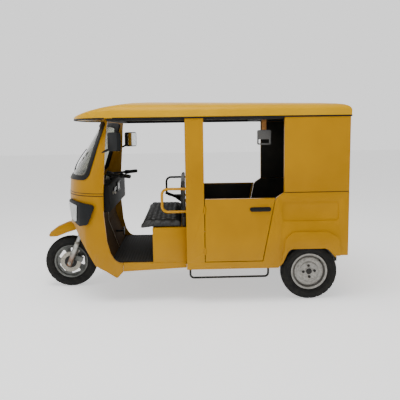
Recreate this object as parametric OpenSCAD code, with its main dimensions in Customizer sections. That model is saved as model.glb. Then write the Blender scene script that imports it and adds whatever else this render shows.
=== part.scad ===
/* [Vehicle] */
// Distance from the rear axle to the front axle
wheelbase = 2140; // [2050:1:2250]
// Width of the body across its side panels
body_w = 1352; // [1320:1:1400]
// Step from the body's side in to the middle plane of a rear wheel
wheel_inset = 141; // [132:1:156]
// Height of the floor's upper face above the ground
floor_z = 355; // [350:1:365]
// Height of the seam under the rear upper quarters
belt_z = 936; // [920:1:960]
// Height of the roof's lip above the ground
lip_z = 1557; // [1520:1:1600]

/* [Roof] */
// Rise of the roof's crown above its lip
roof_rise = 146; // [120:1:165]
// Reach of the roof behind the rear axle
roof_tail = 325; // [318:1:345]
// Distance from the roof's front tip back to the front axle
roof_setback = 121; // [95:1:150]

/* [Wheels] */
// Outer radius of the tyres
tyre_r = 240; // [232:1:246]
// Section width of the tyres
tyre_w = 115; // [100:1:120]
// Radius of the rim flange
rim_r = 157; // [145:1:162]
// Number of spokes in the front wheel
spokes = 5; // [3:1:7]

/* [Steering] */
// Rake of the steering axis from the vertical, in degrees
rake = 22; // [20:0.5:24]
// Offset of the steering axis behind the front axle
fork_offset = 50; // [45:1:55]
// Distance between the fork legs' axes
fork_w = 176; // [172:1:190]
// Radius of the steering stem
stem_r = 20; // [17:0.5:22]

/* [Nose] */
// Reach of the nose's front ahead of the leg shield's edge
nose_len = 380; // [350:1:400]
// Step from the body's side in to the nose's side at the leg shield's edge
nose_inset = 70; // [58:1:84]
// Height of the windscreen's foot
screen_z = 1053; // [1040:1:1080]

/* [Doors] */
// Distance from the rear axle forward to the door's rear upper corner
door_tail_x = 313; // [305:1:345]
// Height of the door's upper edge above the ground
door_top_z = 891; // [860:1:900]
// Thickness of doors and side panels
panel_t = 36; // [30:1:40]
// Gap around the doors
door_gap = 6; // [5.5:0.5:8]

/* [Driver's seat] */
// Width of the door pillar behind the driver
pillar_w = 149; // [130:1:160]
// Length of the seat box along the vehicle
seat_box_len = 283; // [260:1:310]
// Height of the seat box above the floor
seat_box_h = 293; // [270:1:300]
// Thickness of the driver's cushion
cushion_h = 57; // [45:1:65]

/* [Hidden] */
$fn = 64;

yellow = "#C4932C";
black = "#2B2C2E";
steel = "#8F9092";

// One overrun serves all cuts, one seat gap keeps neighbours apart
over = 1;
seat_gap = 0.3;
run_fit = 0.05;

// Stations along the vehicle, measured forward from the rear axle
body_tail = 300;
pillar_share = 0.4187;
pillar_x = wheelbase * pillar_share;
pillar_front = pillar_x + pillar_w;
wing_setback = 420;
wing_x = wheelbase - wing_setback;
mid_x = (wheelbase + tyre_r - roof_tail) / 2;
half_w = body_w / 2;
inner_w = half_w - panel_t;
rear_track = body_w - wheel_inset * 2;
nose_half_w = half_w - nose_inset;
nose_foot_w_share = 0.99;
front_sill_y = nose_half_w * nose_foot_w_share;

// Chassis
floor_t = 20;
rail_inset = 286;
rail_y = half_w - rail_inset;
rail_w = 40;
rail_h = 50;
rail_tail = 285;
rail_reach = 70;
rail_front = wing_x + rail_reach;
rail_z = floor_z - floor_t - rail_h;
member_w = 50;
tail_member_w = 28;
axle_r = 30;
hub_r = 20;
leaf_t = 7;
leaf_w = rail_w;
eye_r = 14;
eye_x = 240;
sill_drop = 50;
sill_z = floor_z - sill_drop;
sill_h = 59;
sill_wall = 21;
sill_in_y = front_sill_y - sill_wall;
floor_play = 2;
floor_half_w = sill_in_y - floor_play;

module placed() {
    translate([-mid_x, 0, 0]) children();
}

module both_sides() {
    children();
    mirror([0, 1, 0]) children();
}

// Plate drawn in side view, from y_out inwards by its thickness
module slab(y_out, t) {
    translate([0, y_out, 0]) rotate([90, 0, 0]) linear_extrude(t) children();
}

module across(half) {
    slab(half, half + half) children();
}

function unit(v) = v / norm(v);

// Outline whose corners are arcs of the given radii
function rounded(pts, radii, steps = 6) = [for (i = [0 : len(pts) - 1])
    let (
        p = pts[i],
        u = unit(pts[(i + len(pts) - 1) % len(pts)] - p),
        v = unit(pts[(i + 1) % len(pts)] - p),
        half = acos(u * v) / 2,
        c = p + unit(u + v) * radii[i] / sin(half),
        s = p + u * radii[i] / tan(half) - c,
        e = p + v * radii[i] / tan(half) - c,
        a0 = atan2(s[1], s[0]),
        turn = atan2(s[0] * e[1] - s[1] * e[0], s * e)
    )
    each radii[i] == 0 ? [p] : [for (k = [0 : steps])
        c + radii[i] * [cos(a0 + turn * k / steps), sin(a0 + turn * k / steps)]]];

function all_round(pts, r) = rounded(pts, [for (p = pts) r]);

function box_pts(x0, z0, x1, z1) = [[x0, z0], [x1, z0], [x1, z1], [x0, z1]];

// Outline drawn anticlockwise, moved inwards by d
function inset(pts, d) = [for (i = [0 : len(pts) - 1])
    let (
        u = unit(pts[i] - pts[(i + len(pts) - 1) % len(pts)]),
        v = unit(pts[(i + 1) % len(pts)] - pts[i]),
        nu = [-u[1], u[0]],
        m = unit(nu + [-v[1], v[0]])
    )
    pts[i] + m * d / (m * nu)];

// Rod of radius r from point a to point b
module rod(a, b, r) {
    d = b - a;
    translate(a) rotate([0, acos(d[2] / norm(d)), atan2(d[1], d[0])]) cylinder(h = norm(d), r = r);
}

// Rings of a round bar along a path in the plane
bar_sides = 16;
function bar_rings(path, r) = [for (i = [0 : len(path) - 1])
    let (t = unit(path[min(i + 1, len(path) - 1)] - path[max(i - 1, 0)]))
    [for (k = [0 : bar_sides - 1])
        let (a = 360 * k / bar_sides)
        [path[i][0] - r * cos(a) * t[1], path[i][1] + r * cos(a) * t[0], r * sin(a)]]];

// Shell between two grids of points, rows from the bottom to the top
module patch(outer, inner) {
    rows = len(outer) - 1;
    cols = len(outer[0]) - 1;
    base = (rows + 1) * (cols + 1);
    function o(k, i) = k * (cols + 1) + i;
    function n(k, i) = base + o(k, i);
    polyhedron(
        [each [for (row = outer) each row], each [for (row = inner) each row]],
        [for (k = [0 : rows - 1]) for (i = [0 : cols - 1]) each [
            [o(k, i), o(k + 1, i), o(k + 1, i + 1)], [o(k, i), o(k + 1, i + 1), o(k, i + 1)],
            [n(k, i), n(k + 1, i + 1), n(k + 1, i)], [n(k, i), n(k, i + 1), n(k + 1, i + 1)]],
         for (i = [0 : cols - 1]) each [
            [o(0, i), o(0, i + 1), n(0, i + 1)], [o(0, i), n(0, i + 1), n(0, i)],
            [o(rows, i + 1), o(rows, i), n(rows, i)], [o(rows, i + 1), n(rows, i), n(rows, i + 1)]],
         for (k = [0 : rows - 1]) each [
            [o(k + 1, 0), o(k, 0), n(k, 0)], [o(k + 1, 0), n(k, 0), n(k + 1, 0)],
            [o(k, cols), o(k + 1, cols), n(k + 1, cols)], [o(k, cols), n(k + 1, cols), n(k, cols)]]],
        convexity = 6);
}

// Closed skin through rings of points, capped at its first and last ring
module skin(rings) {
    last = len(rings) - 1;
    size = len(rings[0]);
    function at(k, i) = k * size + i % size;
    polyhedron(
        [for (ring = rings) each ring],
        [for (k = [0 : last - 1]) for (i = [0 : size - 1]) each [
            [at(k, i), at(k + 1, i), at(k + 1, i + 1)], [at(k, i), at(k + 1, i + 1), at(k, i + 1)]],
         [for (i = [0 : size - 1]) at(0, i)],
         [for (i = [size - 1 : -1 : 0]) at(last, i)]],
        convexity = 6);
}

// Nose: plan curves by height. Columns: height, centre behind wing_x as a share of
// nose_len, front reach as a share of nose_len, half width as a share of nose_half_w, fullness
nose_foot_z = 228;
nose_table_shares = [[0.00, 0.00, 0.90, nose_foot_w_share, 2.2],
                     [0.30, 0.00, 0.97, 0.996, 2.2],
                     [0.64, 0.00, 1.00, 1.000, 2.2],
                     [0.85, 0.00, 0.99, 1.000, 2.2],
                     [1.00, 0.00, 0.96, 1.000, 2.2],
                     [1.03, 0.03, 0.92, 1.000, 2.3],
                     [1.50, 0.46, 0.25, 1.032, 2.7],
                     [1.61, 0.55, 0.11, 1.040, 2.8]];
nose_arc_steps = 30;
nose_tail_share = 0.37;
function nose_z(share) = nose_foot_z + (screen_z - nose_foot_z) * share;
function nose_value(z, column) = lookup(z, [for (s = nose_table_shares) [nose_z(s[0]), s[column]]]);
function nose_arc(v, power) = sign(v) * pow(abs(v), 2 / power);
function nose_pt(z, a, out) =
    let (back = nose_value(z, 1) * nose_len, power = nose_value(z, 4))
    [wing_x - back + (nose_value(z, 2) * nose_len + back + out) * nose_arc(cos(a), power),
     (nose_value(z, 3) * nose_half_w + out) * nose_arc(sin(a), power), z];
function nose_row(z, out) =
    let (tail = [nose_tail_share * nose_len, 0, 0])
    [nose_pt(z, -90, out) - tail,
     for (i = [0 : nose_arc_steps]) nose_pt(z, -90 + 180 * i / nose_arc_steps, out),
     nose_pt(z, 90, out) - tail];
function nose_heights(z0, z1) =
    [z0, for (s = nose_table_shares) if (nose_z(s[0]) > z0 + over && nose_z(s[0]) < z1 - over)
        nose_z(s[0]), z1];
module nose_shell(z0, z1, t, out) {
    heights = nose_heights(z0, z1);
    patch([for (z = heights) nose_row(z, out)], [for (z = heights) nose_row(z, out - t)]);
}
module nose_plan(z, out) {
    polygon([for (p = nose_row(z, out)) [p[0], p[1]]]);
}

// Apron and cowl
shell_t = 20;
cowl_h = 127;
cowl_seam_z = screen_z - cowl_h;
seam_gap = 2;
nose_edge_z = 662;
nose_over_share = 1.2;
nose_over = nose_len * nose_over_share;
// Lower and rear edges of the apron. Columns: place ahead of wing_x as a share of nose_len, share of the rise
apron_foot_shares = [[-0.24, 0], [-0.20, 0], [0.02, 0.13], [0.25, 0.235], [0.71, 0.89], [0.80, 1]];
leg_edge_shares = [[-0.22, 0.00], [-0.10, 0.14], [-0.03, 0.32], [0.02, 0.72], [0.015, 1.00]];

module apron_outline() {
    low = nose_foot_z + over;
    tail = wing_x - nose_tail_share * nose_len + seam_gap;
    polygon([
        [tail, sill_z - sill_drop / 2],
        for (s = apron_foot_shares) [wing_x + s[0] * nose_len, low + s[1] * (nose_edge_z - low)],
        [wing_x + nose_over, nose_edge_z],
        [wing_x + nose_over, cowl_seam_z],
        for (k = [len(leg_edge_shares) - 1 : -1 : 0])
            [wing_x + leg_edge_shares[k][0] * nose_len,
             floor_z + leg_edge_shares[k][1] * (cowl_seam_z - floor_z)],
        [tail, floor_z]]);
}

module front_apron() {
    color(yellow) placed() intersection() {
        nose_shell(nose_foot_z, cowl_seam_z, shell_t, 0);
        across(body_w) apron_outline();
    }
}

// Windscreen opening in side view
screen_top = 21;
screen_back_share = 0.35;
screen_corner = 80;
screen_top_corner = 24;
seal_w = 38;
seal_t = 14;
seal_proud = 5;
glass_t = 5;
pillar_foot_share = 0.015;
pillar_head = 48;
screen_post_w = 18;

function screen_pts() =
    let (foot = wing_x + screen_back_share * nose_len, head = wing_x - pillar_head + screen_post_w)
    [[foot, screen_z], [wing_x + nose_over, screen_z], [wing_x + nose_over, lip_z - screen_top],
     [head, lip_z - screen_top]];
function screen_outline(d) =
    rounded(inset(screen_pts(), d), [screen_corner - d, 0, 0, screen_top_corner]);

module front_cowl() {
    color(yellow) placed() difference() {
        intersection() {
            nose_shell(cowl_seam_z + seam_gap, lip_z, shell_t, 0);
            across(body_w) polygon([
                [wing_x + pillar_foot_share * nose_len, cowl_seam_z],
                [wing_x + nose_over, cowl_seam_z], [wing_x + nose_over, lip_z],
                [wing_x - pillar_head, lip_z],
                [wing_x - pillar_head + pillar_head / 4, lip_z - (lip_z - screen_z) / 6]]);
        }
        across(body_w) polygon(screen_outline(0));
    }
}

module windscreen_seal() {
    color(black) placed() intersection() {
        nose_shell(screen_z, lip_z, seal_t + seal_proud, seal_proud);
        across(body_w) difference() {
            polygon(screen_outline(seat_gap));
            polygon(screen_outline(seal_w));
        }
    }
}

module windscreen() {
    color("#B9C4C6", 0.35) placed() intersection() {
        nose_shell(screen_z, lip_z, glass_t, -glass_t);
        across(body_w) polygon(screen_outline(seal_w + seat_gap));
    }
}

// Wiper: a boss on the cowl and a strip that follows the glass
wiper_w = 12;
wiper_t = 8;
wiper_out = 10;
wiper_boss_r = 12;
wiper_from_deg = -14;
wiper_to_deg = 38;
wiper_steps = 8;
wiper_low_z = screen_z - seal_w;
wiper_top_z = (screen_z + lip_z) / 2;
function wiper_row(side, out) = [for (k = [0 : wiper_steps])
    let (share = k / wiper_steps)
    nose_pt(wiper_low_z + (wiper_top_z - wiper_low_z) * share + side * wiper_w / 2,
        wiper_from_deg + (wiper_to_deg - wiper_from_deg) * share, out)];
module wiper() {
    color(black) placed() {
        difference() {
            rod(nose_pt(wiper_low_z, wiper_from_deg, -shell_t / 2),
                nose_pt(wiper_low_z, wiper_from_deg, wiper_out + wiper_t + over), wiper_boss_r);
            nose_shell(cowl_seam_z, lip_z, shell_t, seat_gap);
        }
        patch([wiper_row(-1, wiper_out + wiper_t), wiper_row(1, wiper_out + wiper_t)],
            [wiper_row(-1, wiper_out), wiper_row(1, wiper_out)]);
    }
}

// Head lamps on the nose's corners. Columns: place ahead of wing_x as a share of nose_len, height as a
// share of lamp_h
lamp_t = 24;
lamp_drop = 40;
lamp_top_z = cowl_seam_z - lamp_drop;
lamp_h = 220;
lens_depth = 15;
lens_proud = 3;
lamp_shares = [[0.59, 0], [0.81, 0.20], [0.90, 1], [0.20, 0.83], [0.39, 0.08]];
lens_shares = [[0.72, 0.14], [0.82, 0.26], [0.885, 0.88], [0.64, 0.80], [0.66, 0.20]];
lamp_corner = 22;
lens_corner = 10;
function lamp_pts(shares) =
    [for (s = shares) [wing_x + s[0] * nose_len, lamp_top_z - lamp_h + s[1] * lamp_h]];

module lamp_shell(t, out) {
    nose_shell(nose_edge_z, cowl_seam_z, t, out);
}

module lamp_housings() {
    color(black) placed() both_sides() difference() {
        intersection() {
            lamp_shell(lamp_t - over, lamp_t);
            slab(body_w, body_w) polygon(all_round(lamp_pts(lamp_shares), lamp_corner));
        }
        intersection() {
            lamp_shell(lens_depth + over, lamp_t + over);
            slab(body_w, body_w) polygon(all_round(lamp_pts(lens_shares), lens_corner));
        }
    }
}

module lamp_lenses() {
    color("#DDE2E4") placed() both_sides() intersection() {
        lamp_shell(lens_depth + lens_proud - seat_gap, lamp_t + lens_proud);
        slab(body_w, body_w) polygon(all_round(inset(lamp_pts(lens_shares), seat_gap), lens_corner));
    }
}

// Chassis: two rails, members between them, outriggers to the sills and a tow eye
tow_plate_t = 12;
tow_eye_r = 22;
tow_bore_r = 11;
module chassis_rails() {
    color(black) placed() both_sides() translate([-rail_tail, rail_y - rail_w / 2, rail_z])
        cube([rail_front + rail_tail, rail_w, rail_h]);
}
module cross_members() {
    y_in = rail_y - rail_w / 2;
    y_out = rail_y + rail_w / 2;
    tow_x = -rail_tail - tow_bore_r;
    color(black) placed() {
        for (x = [eye_x + member_w, pillar_x, pillar_front + seat_box_len, rail_front - member_w])
            translate([x, -y_in, rail_z]) cube([member_w, y_in + y_in, rail_h]);
        both_sides() {
            for (x = [pillar_x, pillar_front + seat_box_len])
                translate([x, y_out, rail_z + rail_h / 2]) cube([member_w, sill_in_y - y_out, rail_h / 2]);
            translate([rail_front - member_w, y_out, rail_z])
                cube([member_w, portal_y + portal_r - y_out, rail_h]);
        }
        difference() {
            union() {
                translate([-rail_tail, -y_in, rail_z]) cube([tail_member_w, y_in + y_in, rail_h]);
                translate([tow_x, 0, rail_z]) cylinder(h = tow_plate_t, r = tow_eye_r);
                translate([tow_x, -tow_eye_r, rail_z])
                    cube([tow_bore_r + tail_member_w / 2, tow_eye_r + tow_eye_r, tow_plate_t]);
            }
            translate([tow_x, 0, rail_z - over]) cylinder(h = tow_plate_t + over + over, r = tow_bore_r);
        }
    }
}

// Frame of the fork and stem: origin on the front axle, z up the rake
module raked() {
    translate([wheelbase, 0, tyre_r]) rotate([0, -rake, 0]) children();
}

head_low = 480;
head_len = 200;
head_wall = 13;
portal_r = 24;
portal_inset = 116;
portal_y = nose_half_w - portal_inset;
portal_z = 760;
portal_back = 26;
portal_x = wheelbase - fork_offset * cos(rake) - (portal_z - tyre_r) * tan(rake) - portal_back;
module steering_head() {
    color(black) placed() difference() {
        union() {
            raked() translate([-fork_offset, 0, head_low]) cylinder(h = head_len, r = stem_r + head_wall);
            translate([portal_x, portal_y - portal_r, portal_z]) rotate([90, 0, 0])
                cylinder(h = (portal_y - portal_r) * 2, r = portal_r);
        }
        raked() translate([-fork_offset, 0, head_low - head_len])
            cylinder(h = head_len * 3, r = stem_r + run_fit);
    }
}
// Posts of square tube, standing on the front member, with the cross tube between them
post_half = 17;
module steering_posts() {
    x0 = rail_front - member_w / 2;
    color(black) placed() both_sides() slab(portal_y + portal_r, portal_r + portal_r)
        polygon([[x0 - post_half, rail_z + rail_h], [x0 + post_half, rail_z + rail_h],
            [portal_x + post_half, portal_z + portal_r], [portal_x - post_half, portal_z + portal_r]]);
}

// Leaf springs with their eyes and rear shackles
shackle_t = 6;
shackle_w = 26;
spring_pack_shares = [1, 0.74, 0.5];
spring_steps = 16;
module leaf_springs() {
    drop = rail_z - eye_r - seat_gap - (tyre_r - axle_r);
    bow = drop / 2 + eye_x * eye_x / (2 * drop);
    reach = asin(eye_x / bow);
    ends = concat(spring_pack_shares, 0);
    function at(r, a) = [r * sin(a), bow - r * cos(a)];
    function ends_at(side, k) = [for (j = [k, k + 1]) at(bow + leaf_t * (k + 1), side * reach * ends[j])];
    color(steel) placed() both_sides() translate([0, rail_y, tyre_r - axle_r]) {
        slab(leaf_w / 2, leaf_w) {
            polygon([for (i = [0 : spring_steps]) at(bow, reach * (2 * i / spring_steps - 1)),
                for (k = [0 : len(ends) - 2]) each ends_at(1, k),
                for (k = [len(ends) - 2 : -1 : 0]) each [for (j = [1, 0]) ends_at(-1, k)[j]]]);
            for (side = [-1, 1]) translate([side * eye_x, drop]) circle(eye_r);
        }
        for (side = [-1, 1])
            for (face = [-leaf_w / 2 - shackle_t, leaf_w / 2])
                translate([side * eye_x - shackle_w / 2, face, drop - eye_r])
                    cube([shackle_w, shackle_t, eye_r + eye_r + rail_h]);
    }
}

// Rear axle with its motor
diff_r = 84;
motor_r = 80;
motor_len = 210;
motor_y = 40;
flange_r = 96;
flange_t = 8;
hub_inset = 75;
hub_y = rear_track / 2 - hub_inset;
stub_end = 30;
module rear_axle() {
    color(steel) placed() translate([0, 0, tyre_r]) rotate([90, 0, 0]) {
        translate([0, 0, -hub_y]) cylinder(h = hub_y + hub_y, r = axle_r - seat_gap);
        translate([0, 0, -rear_track / 2 - stub_end])
            cylinder(h = rear_track + stub_end + stub_end, r = hub_r);
        for (side = [-1, 1])
            translate([0, 0, side * hub_y - flange_t / 2]) cylinder(h = flange_t, r = flange_r);
        translate([0, 0, -motor_y]) cylinder(h = motor_y + motor_y + motor_y, r = diff_r);
        translate([diff_r + motor_r / 2, 0, -motor_len / 2]) cylinder(h = motor_len, r = motor_r);
    }
}

// Floor pan: plate, toe board and bulkhead in one profile
toe_setback = 30;
toe_x = wing_x - toe_setback;
toe_rise = 265;
toe_run = 90;
toe_t = 15;
dash_drop = 43;
dash_top_z = screen_z - dash_drop;
dash_h = 222;
bulk_top_z = dash_top_z - dash_h;
floor_tail = 430;
module floor_pan() {
    color(yellow) placed() {
        translate([floor_tail, -floor_half_w, floor_z - floor_t])
            cube([toe_x - floor_tail, floor_half_w + floor_half_w, floor_t]);
        intersection() {
            across(body_w) polygon([[toe_x - toe_t, floor_z - floor_t], [toe_x + toe_t, floor_z - floor_t],
                [toe_x + toe_run + toe_t, floor_z + toe_rise], [toe_x + toe_run + toe_t, bulk_top_z],
                [toe_x + toe_run, bulk_top_z], [toe_x + toe_run, floor_z + toe_rise], [toe_x, floor_z],
                [toe_x - toe_t, floor_z]]);
            linear_extrude(lip_z) nose_plan(nose_foot_z, -shell_t - over);
        }
    }
}

mat_t = 6;
mat_margin = 12;
module floor_mat() {
    color("#262622") placed() {
        translate([pillar_front + seat_box_len + over, -floor_half_w + mat_margin, floor_z])
            cube([toe_x - pillar_front - seat_box_len - mat_t - over,
                floor_half_w + floor_half_w - mat_margin - mat_margin, mat_t]);
        translate([bench_front + mat_margin, -floor_half_w + mat_margin, floor_z])
            cube([pillar_x - bench_front - mat_margin - mat_margin,
                floor_half_w + floor_half_w - mat_margin - mat_margin, mat_t]);
    }
}

module front_sills() {
    color(yellow) placed() both_sides() slab(front_sill_y, front_sill_y - sill_in_y)
        polygon([[pillar_front + seam_gap, sill_z - seam_gap],
            [wing_x - nose_tail_share * nose_len - seat_gap, sill_z - sill_drop / 2],
            [wing_x - nose_tail_share * nose_len - seat_gap, floor_z], [pillar_front + seam_gap, floor_z]]);
}

// Dashboard with an opening for the steering column. Columns: depth as a share of dash_deep, drop below
// the top as a share of dash_h
dash_rear = 40;
dash_deep = 264;
dash_bore_r = 52;
dash_shares = [[0, 1], [0.367, 1], [0.447, 0.25], [1, 0.12], [1, 0], [0, 0]];
module dashboard() {
    color(black) placed() difference() {
        intersection() {
            across(body_w) polygon(rounded([for (s = dash_shares)
                [wing_x - dash_rear + s[0] * dash_deep, dash_top_z - s[1] * dash_h]],
                [0, 0, 0, 0, 0, screen_top_corner]));
            linear_extrude(lip_z) nose_plan(screen_z - over, -shell_t - mat_margin);
        }
        raked() translate([-fork_offset, 0, head_low]) cylinder(h = head_len * 3, r = dash_bore_r);
    }
}

// Driver's place
seat_top = floor_z + seat_box_h;
seat_wall = 15;
seat_half_w = front_sill_y;
partition_t = 24;
partition_rise = 389;
partition_top_z = seat_top + partition_rise;
cushion_inset = 15;
cushion_half_w = seat_half_w - cushion_inset;
cushion_over = 108;
back_t = 36;
back_rise = 35;
back_low_z = seat_top + cushion_h + back_rise;
back_inset = 100;
back_half_w = seat_half_w - back_inset;
module seat_box() {
    color(yellow) placed() difference() {
        translate([pillar_front, -seat_half_w, floor_z])
            cube([seat_box_len, seat_half_w + seat_half_w, seat_box_h]);
        translate([pillar_front + seat_wall, -seat_half_w + seat_wall, floor_z - over])
            cube([seat_box_len - seat_wall - seat_wall, seat_half_w + seat_half_w - seat_wall - seat_wall,
                seat_box_h - seat_wall + over]);
    }
}

battery_gap = 11.5;
battery_side = 270;
battery_head = 58;
battery_len = seat_box_len - (seat_wall + battery_gap) * 2;
battery_half_w = seat_half_w - battery_side;
battery_h = seat_box_h - seat_wall - battery_head;
module battery_pack() {
    color("#3A3D42") placed() translate([pillar_front + (seat_box_len - battery_len) / 2,
        -battery_half_w, floor_z]) cube([battery_len, battery_half_w + battery_half_w, battery_h]);
}

module partition() {
    wide = inner_w - seat_gap;
    low = sill_in_y - seat_gap;
    step_z = sill_z + sill_h + seat_gap;
    color(yellow) placed() translate([pillar_front - partition_t - seat_gap, 0, 0]) rotate([90, 0, 90])
        linear_extrude(partition_t) polygon([[-low, floor_z], [low, floor_z], [low, step_z], [wide, step_z],
            [wide, partition_top_z], [-wide, partition_top_z], [-wide, step_z], [-low, step_z]]);
}

cushion_round = 24;
module driver_cushion() {
    x0 = pillar_front + back_t;
    x1 = pillar_front + seat_box_len + cushion_over;
    z0 = seat_top + seat_gap;
    color("#2E2E2E") placed() across(cushion_half_w)
        polygon(rounded(box_pts(x0, z0, x1, z0 + cushion_h),
            [0, cushion_round / 2, cushion_round, cushion_round / 2]));
}

module driver_backrest() {
    color("#2E2E2E") placed() across(back_half_w)
        polygon(rounded(box_pts(pillar_front, back_low_z, pillar_front + back_t, partition_top_z),
            [0, back_t / 3, back_t / 3, 0]));
}

// Arm loops of bent tube on the partition
loop_r = 11;
loop_inset = 28;
loop_y = seat_half_w - loop_inset;
loop_rise = 119;
loop_low_z = seat_top + loop_rise;
loop_h = 214;
loop_reach = 210;
loop_bend = 48;
module arm_loops() {
    x0 = pillar_front - seat_gap;
    x1 = pillar_front + loop_reach - loop_r;
    z0 = loop_low_z + loop_r;
    z1 = loop_low_z + loop_h - loop_r;
    color(yellow) placed() both_sides() translate([0, loop_y, 0]) rotate([90, 0, 0])
        skin(bar_rings(rounded(box_pts(x0, z0, x1, z1), [0, loop_bend, loop_bend, 0]), loop_r));
}

// Hand brake lever on the partition and brake pedal on the toe board
lever_r = 11;
lever_inset = 70;
lever_y = lever_inset - seat_half_w;
lever_up = 80;
lever_z = seat_top + lever_up;
lever_run = 105;
lever_rise = 85;
lever_grip_r = 15;
pedal_y = -160;
pedal_w = 70;
pedal_t = 10;
module driver_controls() {
    toe_z = floor_z + toe_rise / 2;
    toe_at = toe_x + toe_run / 2 - pedal_t * toe_run / toe_rise - seat_gap;
    lever_x = pillar_front;
    lever_tip = [lever_x + lever_run * 2, lever_y, lever_z + lever_rise];
    color(black) placed() {
        rod([toe_at, pedal_y, toe_z], [toe_at - pedal_w - pedal_t / 2, pedal_y, toe_z], pedal_t);
        translate([toe_at - pedal_w - pedal_t, pedal_y - pedal_w / 2, toe_z - pedal_w / 2])
            cube([pedal_t, pedal_w, pedal_w]);
        rod([lever_x, lever_y, lever_z], [lever_x + lever_run / 2, lever_y, lever_z], lever_grip_r);
        rod([lever_x + lever_run / 4, lever_y, lever_z], lever_tip, lever_r);
        rod(lever_tip - unit(lever_tip - [lever_x, lever_y, lever_z]) * lever_run, lever_tip, lever_grip_r);
    }
}

// Rear body sides
arch_front = 284;
arch_tail = 205;
arch_top_z = 465;
arch_round = 60;
rear_low_z = 401;
quarter_x = 238;
door_slant = 103;
flare_t = 14;
flare_top_z = 608;
pocket_depth = 8;
door_lift = 15;
door_low_z = floor_z + door_lift;
flare_run = 120;
flare_in = 90;
pocket_round = 30;
pocket_tail = 84;
pocket_front = 15;
pocket_low = 90;
pocket_top = 78;
// Wheel arch, drawn from its front edge, then from its rear edge, in shares of its height
arch_front_shares = [[0.25, 0.25], [0.6, 1]];
arch_tail_shares = [[0.5, 1], [0.05, 0.5]];

module quarter_outline() {
    arch_h = arch_top_z - sill_z;
    notch = door_tail_x - door_gap;
    arch_end = sill_z + arch_tail_shares[1][1] * arch_h;
    difference() {
        polygon([[pillar_front, sill_z], [pillar_front, sill_z + sill_h],
            each rounded([[notch + door_slant, sill_z + sill_h], [notch, door_top_z], [quarter_x, belt_z],
                [-body_tail, belt_z], [-body_tail, rear_low_z]], [0, arch_round, 0, 0, 0]),
            [-arch_tail, rear_low_z], [-arch_tail, sill_z]]);
        polygon(rounded([[-arch_tail - over, sill_z - over], [arch_front, sill_z - over],
            for (s = arch_front_shares) [arch_front - s[0] * arch_h, sill_z + s[1] * arch_h],
            for (s = arch_tail_shares) [s[0] * arch_h - arch_tail, sill_z + s[1] * arch_h],
            [-arch_tail - over, arch_end]], [0, 0, arch_round, arch_round, arch_round, 0, 0]));
    }
}

module flare_outline() {
    difference() {
        polygon(rounded([[arch_front - sill_h / 2, sill_z + sill_h],
            [arch_front - sill_h, flare_top_z - sill_h], [arch_front - flare_run, flare_top_z],
            [-flare_run, flare_top_z],
            [-arch_tail - sill_h / 3, flare_top_z - sill_h], [-arch_tail - sill_h / 2, rear_low_z]],
            [0, arch_round, arch_round, arch_round, arch_round, 0]));
        polygon(rounded([[arch_front, sill_z], [arch_front - flare_in, arch_top_z],
            [flare_in - arch_tail, arch_top_z], [-arch_tail, rear_low_z - over], [-arch_tail, sill_z]],
            [0, arch_round, arch_round, 0, 0]));
    }
}

module lower_quarters() {
    color(yellow) placed() both_sides() difference() {
        union() {
            slab(half_w, panel_t) quarter_outline();
            translate([arch_front + sill_h, sill_in_y, sill_z])
                cube([pillar_front - arch_front - sill_h, inner_w - sill_in_y + over, sill_h]);
            slab(half_w + flare_t, flare_t + over) flare_outline();
        }
        slab(half_w + over, pocket_depth + over)
            polygon(all_round(box_pts(-body_tail + pocket_tail, flare_top_z + pocket_low,
                quarter_x + pocket_front, belt_z - pocket_top), pocket_round));
    }
}

module upper_quarters() {
    color(yellow) placed() both_sides() slab(half_w, panel_t)
        polygon(box_pts(-body_tail, belt_z + seam_gap, quarter_x, lip_z));
}

// Door pillars with the hinge pins
hinge_r = 7.5;
pin_r = 5;
hinge_h = 60;
lug_h = 15;
knuckle_gap = 0.5;
hinge_clear = 2;
hinge_proud = 1;
hinge_x = pillar_x - door_gap / 2;
hinge_y = half_w + hinge_proud;
function hinge_heights() = [door_low_z + hinge_h, door_top_z - hinge_h - hinge_h];

module door_pillars() {
    color(yellow) placed() both_sides() {
        difference() {
            slab(half_w, panel_t) polygon(box_pts(pillar_x, sill_z + sill_h, pillar_front, lip_z));
            for (z = hinge_heights())
                translate([hinge_x, hinge_y, z + lug_h]) cylinder(h = hinge_h - lug_h - lug_h,
                    r = hinge_r + hinge_clear);
        }
        for (z = hinge_heights()) {
            translate([hinge_x, hinge_y, z]) cylinder(h = hinge_h, r = pin_r);
            for (k = [0, hinge_h - lug_h])
                translate([hinge_x, hinge_y, z + k]) cylinder(h = lug_h, r = hinge_r);
        }
    }
}

module door_panel() {
    front = pillar_x - door_gap;
    difference() {
        union() {
            slab(half_w, panel_t) polygon([[door_tail_x + door_slant, door_low_z], [front, door_low_z],
                [front, door_top_z], [door_tail_x, door_top_z]]);
            for (z = hinge_heights())
                translate([hinge_x, hinge_y, z + lug_h + knuckle_gap])
                    cylinder(h = hinge_h - lug_h - lug_h - knuckle_gap - knuckle_gap, r = hinge_r);
        }
        for (z = hinge_heights()) {
            translate([hinge_x, hinge_y, z - over]) cylinder(h = hinge_h + over + over, r = pin_r + run_fit);
            for (k = [-over, hinge_h - lug_h - knuckle_gap])
                translate([hinge_x, hinge_y, z + k])
                    cylinder(h = lug_h + knuckle_gap + over, r = hinge_r + hinge_clear);
        }
    }
}

handle_len = 172;
handle_h = 22;
handle_t = 16;
handle_drop = 90;
handle_inset = 35;
handle_round = 10;
module door_handle() {
    slab(half_w + handle_t, handle_t)
        polygon(all_round(box_pts(door_tail_x + handle_inset, door_top_z - handle_drop - handle_h / 2,
            door_tail_x + handle_inset + handle_len, door_top_z - handle_drop + handle_h / 2), handle_round));
}

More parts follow.
